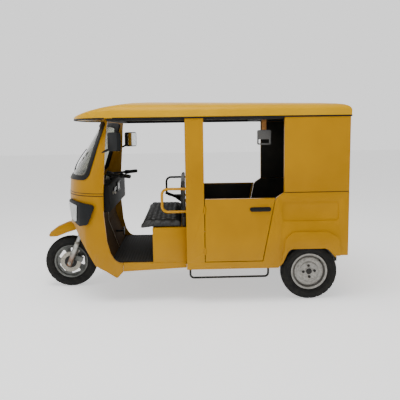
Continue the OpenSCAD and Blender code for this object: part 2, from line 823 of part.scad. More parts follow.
module left_door_panel() {
    color(yellow) placed() door_panel();
}
module right_door_panel() {
    color(yellow) placed() mirror([0, 1, 0]) door_panel();
}
module left_door_handle() {
    color(black) placed() door_handle();
}
module right_door_handle() {
    color(black) placed() mirror([0, 1, 0]) door_handle();
}

// Wheel tubs inside the rear body
tub_gap = 24;
tub_t = 8;
tub_from_deg = 16;
tub_to_deg = 38;
tub_in_y = rear_track / 2 - tyre_w / 2 - tub_gap;
module wheel_tubs() {
    wide = inner_w - tub_in_y - seat_gap;
    color(black) placed() both_sides() translate([0, tub_in_y, tyre_r])
        rotate([90, 0, 0]) rotate([0, 0, tub_from_deg])
            rotate_extrude(angle = 180 - tub_from_deg - tub_to_deg)
                translate([tyre_r + tub_gap, -wide]) square([tub_t, wide]);
}

// Rear panel with its window
window_inset = 210;
window_half_w = inner_w - window_inset;
window_rise = 144;
window_low_z = belt_z + window_rise;
window_h = 340;
window_round = 50;
module window_outline(d) {
    polygon(all_round(box_pts(-window_half_w + d, window_low_z + d, window_half_w - d,
        window_low_z + window_h - d), window_round));
}
module rear_panel() {
    color(yellow) placed() translate([-body_tail, 0, 0]) rotate([90, 0, 90]) linear_extrude(panel_t)
        difference() {
            polygon(box_pts(-inner_w + seat_gap, rear_low_z, inner_w - seat_gap, lip_z));
            window_outline(0);
        }
}
module rear_window() {
    color("#B9C4C6", 0.35) placed() translate([-body_tail + panel_t / 2, 0, 0]) rotate([90, 0, 90])
        linear_extrude(glass_t) window_outline(seat_gap);
}

tail_lamp_inset = 80;
tail_lamp_y = inner_w - tail_lamp_inset;
tail_lamp_w = 90;
tail_lamp_h = 150;
tail_lamp_t = 18;
tail_lamp_round = 18;
module tail_lamps() {
    color("#9A1F1A") placed() both_sides() translate([-body_tail - tail_lamp_t, 0, 0]) rotate([90, 0, 90])
        linear_extrude(tail_lamp_t) polygon(all_round(box_pts(tail_lamp_y - tail_lamp_w / 2, flare_top_z,
            tail_lamp_y + tail_lamp_w / 2, flare_top_z + tail_lamp_h), tail_lamp_round));
}

// Passenger bench
bench_front = 400;
bench_h = 205;
bench_top_z = floor_z + bench_h;
bench_wall = 15;
bench_cushion_h = 90;
bench_tail = 130;
bench_back_t = 100;
bench_back_h = 470;
module passenger_bench() {
    half = tub_in_y - seat_gap;
    color(black) placed() {
        translate([bench_front - bench_wall, -half, floor_z]) cube([bench_wall, half + half,
            bench_top_z - floor_z]);
        translate([-bench_tail, -inner_w + over, bench_top_z - bench_wall])
            cube([bench_front + bench_tail, inner_w + inner_w - over - over, bench_wall]);
    }
}
module passenger_cushion() {
    z0 = bench_top_z + seat_gap;
    color("#2E2E2E") placed() across(inner_w - mat_margin)
        polygon(rounded(box_pts(-bench_tail + bench_back_t, z0, bench_front, z0 + bench_cushion_h),
            [0, cushion_round, cushion_round, cushion_round]));
}
module passenger_backrest() {
    z0 = bench_top_z + seat_gap;
    lean = bench_back_t / 2;
    color("#2E2E2E") placed() across(inner_w - mat_margin) polygon(rounded([[-bench_tail, z0],
        [-bench_tail + bench_back_t - over, z0], [-bench_tail + bench_back_t - lean, z0 + bench_back_h],
        [-bench_tail - lean, z0 + bench_back_h]], [0, 0, cushion_round, cushion_round]));
}

// Roof: rings of one plan outline. Columns: inset as a share of roof_shoulder, height as a share of
// roof_rise
roof_shoulder = 100;
roof_side = 2;
roof_tip_x = wheelbase - roof_setback;
roof_nose_len = 400;
roof_tail_len = 30;
roof_flange = 60;
roof_fall_len = 700;
roof_fall_x = roof_tip_x - roof_fall_len;
roof_fall_share = 0.82;
roof_droop_share = 0.24;
roof_front_power = 2.6;
roof_tail_power = 4;
roof_steps = 16;
roof_under_share = 0.85;
roof_ring_shares = [[0, 0], [0, 0.42], [0.06, 0.55], [0.22, 0.68], [0.5, 0.78], [1, 0.85],
                    [2.2, 0.92], [4, 0.975], [6, 1]];
function roof_fall(x) =
    1 - roof_fall_share * pow(max(0, (x - roof_fall_x) / (roof_tip_x - roof_fall_x)), 2)
      - roof_droop_share * pow(max(0, (roof_fall_x - x) / (roof_fall_x + roof_tail)), 2);
function roof_plan() = [for (i = [-roof_steps : 2 * roof_steps + roof_steps - 1])
    let (
        a = 90 * i / roof_steps,
        front = cos(a) >= 0,
        len_x = front ? roof_nose_len : roof_tail_len,
        power = front ? roof_front_power : roof_tail_power,
        x0 = front ? roof_tip_x - roof_nose_len : roof_tail_len - roof_tail
    )
    [x0 + len_x * sign(cos(a)) * pow(abs(cos(a)), 2 / power),
     (half_w + roof_side) * sign(sin(a)) * pow(abs(sin(a)), 2 / power)]];
function roof_ring(d, h) =
    let (c = (roof_tip_x - roof_tail) / 2, half = (roof_tip_x + roof_tail) / 2)
    [for (p = roof_plan())
        let (x = c + (p[0] - c) * (1 - d / half))
        [x, p[1] * (1 - d / (half_w + roof_side)), lip_z + h * roof_fall(x)]];
module roof() {
    top = len(roof_ring_shares) - 1;
    color("#D6A01E") placed() skin([
        for (k = [top - 1 : -1 : 0])
            roof_ring(roof_ring_shares[k][0] * roof_shoulder + roof_flange,
                roof_ring_shares[k][1] * roof_rise * roof_under_share),
        for (k = [0 : top])
            roof_ring(roof_ring_shares[k][0] * roof_shoulder, roof_ring_shares[k][1] * roof_rise)]);
}

// Roof rails and bows of flat tube
tube_w = 34;
tube_h = 22;
strap_x = 367;
roof_rail_y = inner_w - seat_gap;
roof_rail_tail = -body_tail + panel_t + seat_gap;
roof_rail_front = wing_x - pillar_head - seat_gap;
module roof_rails() {
    color(black) placed() both_sides()
        translate([roof_rail_tail, roof_rail_y - tube_w, lip_z - tube_h])
            cube([roof_rail_front - roof_rail_tail, tube_w, tube_h]);
}
module roof_bows() {
    y1 = roof_rail_y - tube_w;
    color(black) placed()
        for (x = [roof_rail_tail, strap_x - tube_w / 2, pillar_x, roof_rail_front - tube_w])
            translate([x, -y1, lip_z - tube_h]) cube([tube_w, y1 + y1, tube_h]);
}

// Mirrors on the windscreen pillars
mirror_setback = 120;
mirror_x = wing_x - mirror_setback;
mirror_inset = 34;
mirror_y = half_w - mirror_inset;
mirror_drop = 187;
mirror_z = lip_z - mirror_drop;
mirror_w = 140;
mirror_h = 150;
mirror_t = 36;
mirror_turn_deg = 40;
mirror_round = 24;
mirror_arm_r = 10;
mirror_arm_drop = 90;
mirror_arm_deg = 76;
module mirror_frame() {
    translate([mirror_x, mirror_y, mirror_z]) rotate([0, 0, mirror_turn_deg]) children();
}
module mirrors() {
    color(black) placed() both_sides() {
        mirror_frame() rotate([90, 0, -90]) translate([0, 0, -mirror_t]) linear_extrude(mirror_t)
            polygon(all_round(box_pts(-mirror_w / 2, -mirror_h / 2, mirror_w / 2, mirror_h / 2),
                mirror_round));
        difference() {
            rod(nose_pt(mirror_z - mirror_arm_drop, mirror_arm_deg, -shell_t / 2),
                [mirror_x + mirror_t / 2, mirror_y, mirror_z - mirror_h / 4], mirror_arm_r);
            nose_shell(screen_z, lip_z, shell_t, seat_gap);
        }
    }
}
mirror_rim = 9;
module mirror_glasses() {
    color("#C9D2D8") placed() both_sides() mirror_frame() rotate([90, 0, -90]) linear_extrude(glass_t)
        polygon(all_round(box_pts(-mirror_w / 2 + mirror_rim, -mirror_h / 2 + mirror_rim,
            mirror_w / 2 - mirror_rim, mirror_h / 2 - mirror_rim), mirror_round - mirror_rim));
}

// Hand strap under the roof frame
strap_w = 40;
strap_t = 4;
strap_len = 88;
strap_inset = 220;
strap_y = inner_w - strap_inset;
handle_plate_w = 117;
handle_plate_h = 125;
handle_plate_t = 14;
handle_slot_h = 34;
handle_wall = 12;
module hand_strap() {
    color("#C08A4A") placed() translate([strap_x - strap_w / 2, strap_y - strap_t / 2,
        lip_z - tube_h - strap_len]) cube([strap_w, strap_t, strap_len]);
}
module strap_handle() {
    z1 = lip_z - tube_h - strap_len;
    color("#6E7073") placed() slab(strap_y + handle_plate_t / 2, handle_plate_t) difference() {
        polygon(all_round(box_pts(strap_x - handle_plate_w / 2, z1 - handle_plate_h,
            strap_x + handle_plate_w / 2, z1), handle_wall));
        polygon(all_round(box_pts(strap_x - handle_plate_w / 2 + handle_wall, z1 - handle_plate_h
            + handle_wall, strap_x + handle_plate_w / 2 - handle_wall, z1 - handle_plate_h + handle_wall
            + handle_slot_h), handle_wall / 2));
    }
}

// Side steps of bent rod
step_r = 9;
step_y = (sill_in_y + inner_w) / 2;
step_drop = 87;
step_z = sill_z - step_drop;
step_setback = 28;
step_front = pillar_front - step_setback;
step_tail = 300;
step_bend = 30;
module side_steps() {
    x1 = step_tail + sill_h;
    color(black) placed() both_sides() translate([0, step_y, 0]) rotate([90, 0, 0])
        skin(bar_rings(rounded([[x1, sill_z], [x1, step_z], [step_front, step_z], [step_front, sill_z]],
            [0, step_bend, step_bend, 0]), step_r));
}

// Fork, with the axle, crown and stem in one piece
leg_r = 19;
slider_r = 24;
slider_len = 190;
leg_drop = 30;
crown_low = 350;
crown_h = 30;
crown_margin = 28;
axle_pin_r = 10;
bar_z = 905;
module fork() {
    color(steel) placed() raked() {
        for (side = [-1, 1]) {
            translate([0, side * fork_w / 2, -leg_drop]) cylinder(h = slider_len + leg_drop, r = slider_r);
            translate([0, side * fork_w / 2, slider_len - over])
                cylinder(h = crown_low + crown_h - slider_len + over, r = leg_r);
        }
        translate([0, fork_w / 2, 0]) rotate([90, 0, 0]) cylinder(h = fork_w, r = axle_pin_r);
        translate([-fork_offset - crown_margin, -fork_w / 2 - crown_margin, crown_low])
            cube([fork_offset + crown_margin * 2, fork_w + crown_margin * 2, crown_h]);
        translate([-fork_offset, 0, crown_low]) cylinder(h = bar_z - clamp_h / 2 - crown_low, r = stem_r);
    }
}

// Handlebar swept back to the grips
bar_r = 11;
clamp_w = 60;
clamp_h = 44;
grip_r = 17;
grip_len = 126;
bar_wide = 225;
bar_sweep = 150;
grip_out = 105;
grip_back = 70;
bar_bend = 60;
bar_x = wheelbase - fork_offset * cos(rake) - bar_z * sin(rake);
bar_height = tyre_r - fork_offset * sin(rake) + bar_z * cos(rake);
function bar_half(side) = [[bar_x, side * clamp_w], [bar_x - bar_sweep, side * bar_wide],
    [bar_x - bar_sweep - grip_back, side * (bar_wide + grip_out)]];
module handlebar() {
    right = bar_half(-1);
    path = rounded([right[2], right[1], right[0], each bar_half(1)],
        [0, bar_bend, bar_bend, bar_bend, bar_bend, 0]);
    color(black) placed() {
        translate([0, 0, bar_height]) skin(bar_rings(path, bar_r));
        raked() translate([-fork_offset - clamp_w / 2, -clamp_w / 2, bar_z - clamp_h / 2])
            cube([clamp_w, clamp_w, clamp_h]);
    }
}
module grips() {
    color(black) placed() for (side = [-1, 1]) {
        path = bar_half(side);
        d = concat(unit(path[2] - path[1]), 0);
        tip = concat(path[2], bar_height);
        difference() {
            rod(tip - d * (grip_len - bar_r), tip + d * bar_r / 2, grip_r);
            rod(tip - d * grip_len, tip + d * run_fit, bar_r + run_fit);
        }
    }
}

// Front fender. Columns: station ahead of the axle, top and skirt heights above the axle, half width,
// all as shares of tyre_r
fender_shares = [[0.84, 1.07, 1.01, 0.07], [0.75, 1.20, 1.01, 0.22], [0.46, 1.41, 1.04, 0.31],
                 [0.05, 1.58, 1.20, 0.355], [-0.25, 1.62, 1.29, 0.36], [-0.42, 1.60, 1.34, 0.34]];
fender_t = 4;
fender_steps = 12;
fender_power = 3.2;
fender_tongue_w = 80;
function fender_row(s, d) =
    [for (i = [0 : fender_steps])
        let (a = 180 * i / fender_steps)
        [wheelbase + s[0] * tyre_r - d,
         -(s[3] * tyre_r - d) * sign(cos(a)) * pow(abs(cos(a)), 2 / fender_power),
         tyre_r + s[2] * tyre_r + ((s[1] - s[2]) * tyre_r - d) * pow(sin(a), 2 / fender_power)]];
module front_fender() {
    color(yellow) placed() {
        patch([for (s = fender_shares) fender_row(s, 0)], [for (s = fender_shares) fender_row(s, fender_t)]);
        raked() translate([-crown_margin / 2, -fender_tongue_w / 2, crown_low + crown_h])
            cube([fender_tongue_w + crown_margin, fender_tongue_w, fender_t]);
    }
}

// Wheels turn about y. Half of the tyre's section. Columns: height above the rim as a share of the
// section's height, half width as a share of tyre_w / 2, corner radius as a share of the section's height
bead_drop = 12;
bead_r = rim_r - bead_drop;
tyre_shares = [[0.10, 0.80, 0], [0.46, 1, 0.3], [0.82, 0.93, 0.2], [0.985, 0.66, 0.1]];
module tyre() {
    w = tyre_w / 2;
    h = tyre_r - rim_r;
    bead_w = w * rim_w_share - seat_gap;
    half = [[bead_r + seat_gap, bead_w], [rim_r + seat_gap, bead_w],
        for (s = tyre_shares) [rim_r + h * s[0], w * s[1]]];
    radii = [0, 0, for (s = tyre_shares) h * s[2]];
    order = [len(half) - 1 : -1 : 0];
    rotate([90, 0, 0]) rotate_extrude() polygon(rounded(
        [for (q = half) [q[0], -q[1]], [tyre_r, 0], for (i = order) half[i]],
        [each radii, 0, for (i = order) radii[i]], 3));
}

rim_wall = 6;
rim_w_share = 0.60;
disc_t = 7;
drum_r = 92;
module rear_rim() {
    w = tyre_w / 2 * rim_w_share;
    bore = hub_r + run_fit;
    rotate([90, 0, 0]) rotate_extrude() {
        polygon([[bead_r - rim_wall, -w], [rim_r, -w - rim_wall], [rim_r, -w], [bead_r, -w], [bead_r, w],
            [rim_r, w], [rim_r, w + rim_wall], [bead_r - rim_wall, w]]);
        polygon([[bore, -w], [drum_r, -w], [drum_r, -w + rim_wall], [bead_r - rim_wall - over, -w + rim_wall],
            [bead_r - rim_wall + over, -w + rim_wall + disc_t], [drum_r, -w + rim_wall + disc_t],
            [drum_r, w - rim_wall], [bore, w - rim_wall]]);
    }
}
module rear_wheel_at(side) {
    placed() translate([0, side * rear_track / 2, tyre_r]) rotate([0, 0, side > 0 ? 0 : 180]) children();
}
module rear_left_rim() {
    color("#AAA8A0") rear_wheel_at(1) rear_rim();
}
module rear_right_rim() {
    color("#AAA8A0") rear_wheel_at(-1) rear_rim();
}
module rear_left_tyre() {
    color("#232323") rear_wheel_at(1) tyre();
}
module rear_right_tyre() {
    color("#232323") rear_wheel_at(-1) tyre();
}

// Front wheel: cast disc with openings between its spokes
front_hub_r = 52;
front_hub_w = 96;
spoke_t = 24;
spoke_gap_share = 0.62;
spoke_window_shares = [[0.56, -0.5], [0.94, -0.5], [0.94, 0.5], [0.56, 0.5]];
spoke_round = 12;
module front_rim() {
    w = tyre_w / 2 * rim_w_share;
    bore = axle_pin_r + run_fit;
    color("#858583") placed() translate([wheelbase, 0, tyre_r]) rotate([90, 0, 0]) difference() {
        union() {
            rotate_extrude() polygon([[bead_r - rim_wall, -w], [rim_r, -w - rim_wall], [rim_r, -w],
                [bead_r, -w], [bead_r, w], [rim_r, w], [rim_r, w + rim_wall], [bead_r - rim_wall, w]]);
            rotate_extrude() polygon([[bore, -front_hub_w / 2], [front_hub_r, -front_hub_w / 2],
                [front_hub_r, front_hub_w / 2], [bore, front_hub_w / 2]]);
            rotate_extrude() translate([front_hub_r - over, -spoke_t / 2])
                square([bead_r - rim_wall - front_hub_r + over + over, spoke_t]);
        }
        for (k = [0 : spokes - 1])
            rotate([0, 0, 360 * (k + 0.5) / spokes]) translate([0, 0, -spoke_t]) linear_extrude(spoke_t * 2)
                polygon(all_round([
                    for (q = spoke_window_shares)
                        let (a = q[1] * 360 / spokes * spoke_gap_share)
                        (bead_r - rim_wall) * q[0] * [cos(a), sin(a)]], spoke_round));
    }
}
module front_tyre() {
    color("#232323") placed() translate([wheelbase, 0, tyre_r]) tyre();
}

chassis_rails();
cross_members();
steering_head();
steering_posts();
leaf_springs();
rear_axle();
battery_pack();
floor_pan();
floor_mat();
front_sills();
front_apron();
front_cowl();
windscreen();
windscreen_seal();
wiper();
lamp_housings();
lamp_lenses();
dashboard();
driver_controls();
seat_box();
partition();
driver_cushion();
driver_backrest();
arm_loops();
door_pillars();
lower_quarters();
upper_quarters();
wheel_tubs();
rear_panel();
rear_window();
tail_lamps();
passenger_bench();
passenger_cushion();
passenger_backrest();
roof();
roof_rails();
roof_bows();
mirrors();
mirror_glasses();
hand_strap();
strap_handle();
side_steps();
left_door_panel();
left_door_handle();
right_door_panel();
right_door_handle();
fork();
handlebar();
grips();
front_fender();
front_rim();
front_tyre();
rear_left_rim();
rear_left_tyre();
rear_right_rim();
rear_right_tyre();
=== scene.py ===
import bpy
from math import atan2, cos, exp, pi, radians, sin
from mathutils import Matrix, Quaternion, Vector


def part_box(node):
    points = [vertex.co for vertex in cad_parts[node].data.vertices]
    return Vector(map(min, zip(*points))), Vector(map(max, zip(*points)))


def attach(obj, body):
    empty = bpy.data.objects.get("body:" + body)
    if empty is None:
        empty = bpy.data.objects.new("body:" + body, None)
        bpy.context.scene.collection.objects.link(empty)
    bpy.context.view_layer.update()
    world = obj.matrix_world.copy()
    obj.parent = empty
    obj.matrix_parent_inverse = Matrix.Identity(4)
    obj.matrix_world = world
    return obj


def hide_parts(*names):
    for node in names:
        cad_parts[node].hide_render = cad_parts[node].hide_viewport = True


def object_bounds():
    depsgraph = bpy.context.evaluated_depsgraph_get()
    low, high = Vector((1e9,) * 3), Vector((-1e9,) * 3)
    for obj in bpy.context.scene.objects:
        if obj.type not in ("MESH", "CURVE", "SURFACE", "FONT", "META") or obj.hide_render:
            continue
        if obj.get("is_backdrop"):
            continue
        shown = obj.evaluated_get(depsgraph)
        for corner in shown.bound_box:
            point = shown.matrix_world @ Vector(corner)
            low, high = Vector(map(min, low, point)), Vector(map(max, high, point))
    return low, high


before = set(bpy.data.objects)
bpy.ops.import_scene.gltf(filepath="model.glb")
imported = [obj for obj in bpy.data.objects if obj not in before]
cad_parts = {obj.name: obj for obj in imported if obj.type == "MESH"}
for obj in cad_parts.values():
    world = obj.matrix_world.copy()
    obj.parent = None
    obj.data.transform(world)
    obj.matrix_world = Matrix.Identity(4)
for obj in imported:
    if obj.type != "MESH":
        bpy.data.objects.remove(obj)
cad_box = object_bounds()
bpy.ops.object.select_all(action="DESELECT")


# Studio: a pale matt floor, a soft sky and three large soft lamps, with the camera at the
# vehicle's left side, a little above its belt line.
def linear(code):
    parts = [int(code[i:i + 2], 16) / 255 for i in (1, 3, 5)]
    return [p / 12.92 if p <= 0.04045 else ((p + 0.055) / 1.055) ** 2.4 for p in parts] + [1]


def add(mat, kind, settings=None, **links):
    made = mat.node_tree.nodes.new("ShaderNode" + kind)
    for key, value in (settings or {}).items():
        if key == "stops":
            for stop, (spot, code) in zip(made.color_ramp.elements, value):
                stop.position = spot
                stop.color = linear(code)
        elif type(key) is int or key in made.inputs:
            made.inputs[key].default_value = value
        else:
            setattr(made, key, value)
    for key, source in links.items():
        socket = made.inputs[int(key[1:]) if key[1:].isdigit() else key.replace("_", " ")]
        mat.node_tree.links.new(source if hasattr(source, "is_output") else source.outputs[0], socket)
    return made


def new_finish(name, **plain):
    mat = bpy.data.materials.new(name)
    mat.use_nodes = True
    shader = mat.node_tree.nodes["Principled BSDF"]
    for key, value in plain.items():
        shader.inputs[key.replace("_", " ")].default_value = value
    return mat, add(mat, "TexCoord").outputs["Object"]


def into_shader(mat, **made):
    for key, source in made.items():
        socket = mat.node_tree.nodes["Principled BSDF"].inputs[key.replace("_", " ")]
        mat.node_tree.links.new(source.outputs[0], socket)


def coat(mat, shade, stops, gloss=None, relief=None):
    into_shader(mat, Base_Color=add(mat, "ValToRGB", {"stops": stops}, Fac=shade))
    if gloss:
        source, least, most = gloss
        into_shader(mat, Roughness=add(mat, "MapRange", {"To Min": least, "To Max": most}, Value=source))
    if relief:
        source, strength, depth = relief
        into_shader(mat, Normal=add(mat, "Bump", {"Strength": strength, "Distance": depth}, Height=source))


matt_board, place = new_finish("pale_matt_board", Roughness=0.9, Emission_Strength=0.66,
                               Emission_Color=linear("#FFFFFF"))
fleck = add(matt_board, "TexNoise", {"Scale": 3, "Detail": 2}, Vector=place)
coat(matt_board, fleck, [(0, "#F6F6F5"), (1, "#FAFAFA")])
floor_w = 60
bpy.ops.mesh.primitive_plane_add(size=floor_w)
floor = bpy.context.object
floor.name = "floor"
floor.data.materials.append(matt_board)
floor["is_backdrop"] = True

world = bpy.data.worlds.new("soft_sky")
bpy.context.scene.world = world
world.use_nodes = True
bright, dim = 1.3, 0.4
aim = add(world, "TexCoord").outputs["Generated"]
upward = add(world, "SeparateXYZ", {}, Vector=aim).outputs["Z"]
glow = add(world, "MapRange", {"From Min": 0.24, "From Max": 0.5, "To Min": bright, "To Max": dim},
           Value=upward)
world.node_tree.links.new(glow.outputs[0], world.node_tree.nodes["Background"].inputs["Strength"])
world.node_tree.nodes["Background"].inputs["Color"].default_value = (1, 1, 1, 1)
for name, spot, aim, size, watts in (
        ("overhead_softbox", (0.6, 1.6, 5.4), (0, 0, 0.8), 4.0, 270),
        ("front_softbox", (4.6, 3.8, 2.6), (0.6, 0, 0.9), 3.0, 25),
        ("rear_softbox", (-4.6, 3.0, 2.8), (-0.6, 0, 0.9), 3.0, 4)):
    bpy.ops.object.light_add(type="AREA", location=spot)
    lamp = bpy.context.object
    lamp.name = name
    lamp.data.size = size
    lamp.data.energy = watts
    lamp.rotation_euler = (Vector(aim) - Vector(spot)).to_track_quat("-Z", "Y").to_euler()

camera_spot, lens_mm, film_mm = (0.0243, 4.8418, 1.4452), 46.39, 36
yaw, pitch, roll = 0.0293, 0.1329, -0.0143
looking = Vector((-sin(yaw) * cos(pitch), -cos(yaw) * cos(pitch), -sin(pitch)))
bpy.ops.object.camera_add(location=camera_spot)
camera = bpy.context.object
camera.rotation_mode = "QUATERNION"
camera.rotation_quaternion = looking.to_track_quat("-Z", "Y") @ Quaternion((0, 0, 1), roll)
camera.data.lens = lens_mm
camera.data.sensor_width = film_mm
bpy.context.scene.camera = camera


# Body panels: pressed steel sheet in baked yellow enamel, hemmed at the edges, so each edge has a
# small round that catches the light. The nose, roof and fender are drawn over a form and run smooth.
# Enamel: sprayed and baked, so it has a fine orange peel, drawn at 6 mm to show, and a mid gloss,
# with road dust over the lower 300 mm. The roof has a brighter copy of the same enamel: a painted
# highlight that stands in for the overhead light falling on it.
paints = []
# The second, brighter tone is the roof's: a painted highlight for the overhead light on it.
for paint_name, deep, light in (("baked_yellow_enamel", "#9A6C00", "#A87800"),
                                ("roof_painted_highlight_enamel", "#BE8E00", "#CC9A00")):
    paint, place = new_finish(paint_name, Specular_IOR_Level=0.1)
    cloud = add(paint, "TexNoise", {"Scale": 2.2, "Detail": 3}, Vector=place)
    shade = add(paint, "ValToRGB", {"stops": [(0.3, deep), (0.7, light)]}, Fac=cloud)
    height = add(paint, "SeparateXYZ", {}, Vector=place)
    low = add(paint, "MapRange", {"From Min": 0.6, "From Max": 0.2, "To Max": 0.4},
              Value=height.outputs["Z"])
    speck = add(paint, "TexNoise", {"Scale": 34, "Detail": 5}, Vector=place)
    dust = add(paint, "Math", {"operation": "MULTIPLY"}, i0=low, i1=speck)
    dusty = add(paint, "MixRGB", {"Color2": linear("#9A7B45")}, Fac=dust, Color1=shade)
    gloss = add(paint, "MapRange", {"To Min": 0.24, "To Max": 0.4}, Value=speck)
    peel = add(paint, "TexNoise", {"Scale": 160, "Detail": 1}, Vector=place)
    into_shader(paint, Base_Color=dusty, Roughness=gloss, Normal=add(
        paint, "Bump", {"Strength": 0.06, "Distance": 0.002}, Height=peel))
    paints.append(paint)
enamel_yellow, roof_highlight_yellow = paints


def begin():
    if bpy.context.mode != "OBJECT":
        bpy.ops.object.mode_set(mode="OBJECT")
    bpy.ops.object.select_all(action="DESELECT")


def pick(piece, test, kind="FACE"):
    bpy.ops.object.mode_set(mode="EDIT")
    bpy.ops.mesh.select_mode(type=kind)
    bpy.ops.mesh.select_all(action="DESELECT")
    bpy.ops.object.mode_set(mode="OBJECT")
    if kind == "FACE":
        for part in piece.data.polygons:
            part.select = test(part.center, part.normal)
    else:
        for part in piece.data.vertices:
            part.select = test(part.co)
    bpy.ops.object.mode_set(mode="EDIT")


def round_edges(piece, width, segments=2, angle=radians(40)):
    bpy.ops.object.mode_set(mode="OBJECT")
    hem = piece.modifiers.new("hem", "BEVEL")
    hem.width = width
    hem.segments = segments
    hem.limit_method = "ANGLE"
    hem.angle_limit = angle
    bpy.ops.object.modifier_apply(modifier="hem")


def settle(piece, name, body, finish, angle=radians(35)):
    begin()
    piece.name = name
    piece.select_set(True)
    bpy.context.view_layer.objects.active = piece
    bpy.ops.object.transform_apply()
    piece.data.materials.clear()
    piece.data.materials.append(finish)
    bpy.ops.object.shade_smooth_by_angle(angle=angle)
    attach(piece, body)
    return piece


def linked(name, data):
    begin()
    piece = bpy.data.objects.new(name, data)
    bpy.context.scene.collection.objects.link(piece)
    bpy.context.view_layer.objects.active = piece
    piece.select_set(True)
    return piece


def edit_all():
    bpy.ops.object.mode_set(mode="EDIT")
    bpy.ops.mesh.select_all(action="SELECT")


def copy_of(node, dissolve=False):
    piece = linked(node + "_sheet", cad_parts[node].data.copy())
    edit_all()
    bpy.ops.mesh.remove_doubles(threshold=0.00002)
    if dissolve:
        bpy.ops.mesh.dissolve_limited(angle_limit=radians(0.6))
    bpy.ops.object.mode_set(mode="OBJECT")
    return piece


def remade(node, name, body, finish, hem, segments=2, angle=radians(50)):
    piece = copy_of(node, dissolve=True)
    round_edges(piece, hem, segments, angle)
    settle(piece, name, body, finish)
    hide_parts(node)
    return piece


drawn_angle, hem_r, hem_angle = radians(38), 0.003, radians(40)
# The roof takes the brighter enamel, its painted highlight.
for node, body, paint in (("front_apron", "body", enamel_yellow), ("front_cowl", "body", enamel_yellow),
                          ("roof", "body", roof_highlight_yellow), ("front_fender", "steering", enamel_yellow)):
    sheet = copy_of(node)
    settle(sheet, node + "_sheet", body, paint, drawn_angle)
    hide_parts(node)
for node in ("front_sills", "seat_box", "partition", "door_pillars", "lower_quarters",
             "upper_quarters", "rear_panel"):
    remade(node, node + "_sheet", "body", enamel_yellow, hem_r, angle=hem_angle)


# Doors: a flat skin hemmed over its frame, with the hem's edge showing as a fine groove set in from
# the border, and an inner trim board of black vinyl on card.
# Vinyl board: black PVC film on card, with a leather grain drawn at 4 mm, and a low sheen.
vinyl_board, place = new_finish("black_vinyl_board", Roughness=0.55, Specular_IOR_Level=0.3)
leather = add(vinyl_board, "TexVoronoi", {"Scale": 260}, Vector=place)
worn = add(vinyl_board, "TexNoise", {"Scale": 9, "Detail": 4}, Vector=place)
coat(vinyl_board, worn, [(0.3, "#17150F"), (0.75, "#27231A")], relief=(leather, 0.3, 0.001))


def board(one, other, bevel=0.002):
    begin()
    lo = Vector([min(pair) for pair in zip(one, other)])
    hi = Vector([max(pair) for pair in zip(one, other)])
    bpy.ops.mesh.primitive_cube_add(size=1, location=(lo + hi) / 2, scale=hi - lo)
    piece = bpy.context.object
    bpy.ops.object.transform_apply()
    if bevel:
        round_edges(piece, bevel)
    return piece


door_x, door_reach, door_y, flat_on = -0.42, 0.2, 0.67, 0.95
hem_in, groove_w, groove_d = 0.016, 0.002, 0.0025
lining_y, lining_t, lining_r = 0.6355, 0.004, 0.0015
trim_rear, trim_front, trim_foot, trim_head, trim_lean = -0.610, -0.165, 0.405, 0.880, 0.08
both_sides = ((1, "left"), (-1, "right"))
for side, name in both_sides:
    skin = copy_of(name + "_door_panel", dissolve=True)
    pick(skin, lambda c, n: n.y * side > flat_on and c.y * side > door_y and abs(c.x - door_x) < door_reach)
    bpy.ops.mesh.inset(thickness=hem_in)
    bpy.ops.mesh.inset(thickness=groove_w, depth=-groove_d)
    bpy.ops.mesh.inset(thickness=groove_w, depth=groove_d)
    settle(skin, name + "_door_sheet", name + "_door", enamel_yellow, radians(30))
    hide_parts(name + "_door_panel")
    trim = board((trim_rear, lining_y * side, trim_foot),
                 (trim_front, (lining_y + lining_t) * side, trim_head), bevel=0)
    pick(trim, lambda co: co.x < door_x and co.z > (trim_foot + trim_head) / 2, "VERT")
    bpy.ops.transform.translate(value=(-trim_lean, 0, 0))
    round_edges(trim, lining_r)
    settle(trim, name + "_door_trim", name + "_door", vinyl_board)


# Tyres: tubeless cross-ply tyres, moulded in one piece with ribs on the side wall. The crown has two
# grooves round it and notched shoulder blocks, 7 mm deep.
# Tyre rubber: carbon-black rubber, matt, with fine mould grain, greyed by dust in patches.
tyre_rubber, place = new_finish("moulded_tyre_rubber", Specular_IOR_Level=0.2)
grime = add(tyre_rubber, "TexNoise", {"Scale": 22, "Detail": 5}, Vector=place)
mould = add(tyre_rubber, "TexNoise", {"Scale": 420, "Detail": 2}, Vector=place)
coat(tyre_rubber, grime, [(0.35, "#0F0F0F"), (0.8, "#24231F")],
     gloss=(grime, 0.62, 0.9), relief=(mould, 0.25, 0.0015))


def turned(section, centre, steps, axis=(0, 1, 0)):
    begin()
    bpy.ops.mesh.primitive_circle_add(vertices=len(section))
    piece = bpy.context.object
    for corner, (r, y) in zip(piece.data.vertices, section):
        corner.co = (0, y, r)
    edit_all()
    bpy.ops.mesh.spin(steps=steps, angle=2 * pi, center=(0, 0, 0), axis=(0, 1, 0))
    bpy.ops.mesh.select_all(action="SELECT")
    bpy.ops.mesh.remove_doubles(threshold=0.00001)
    bpy.ops.mesh.normals_make_consistent(inside=False)
    bpy.ops.object.mode_set(mode="OBJECT")
    piece.rotation_mode = "QUATERNION"
    piece.rotation_quaternion = Vector((0, 1, 0)).rotation_difference(Vector(axis))
    piece.location = centre
    bpy.ops.object.transform_apply()
    return piece


def middle_of(node):
    lo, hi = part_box(node)
    return (lo + hi) / 2


def polar(c):
    return (c.x ** 2 + c.z ** 2) ** 0.5, atan2(c.x, c.z) / (2 * pi) % 1


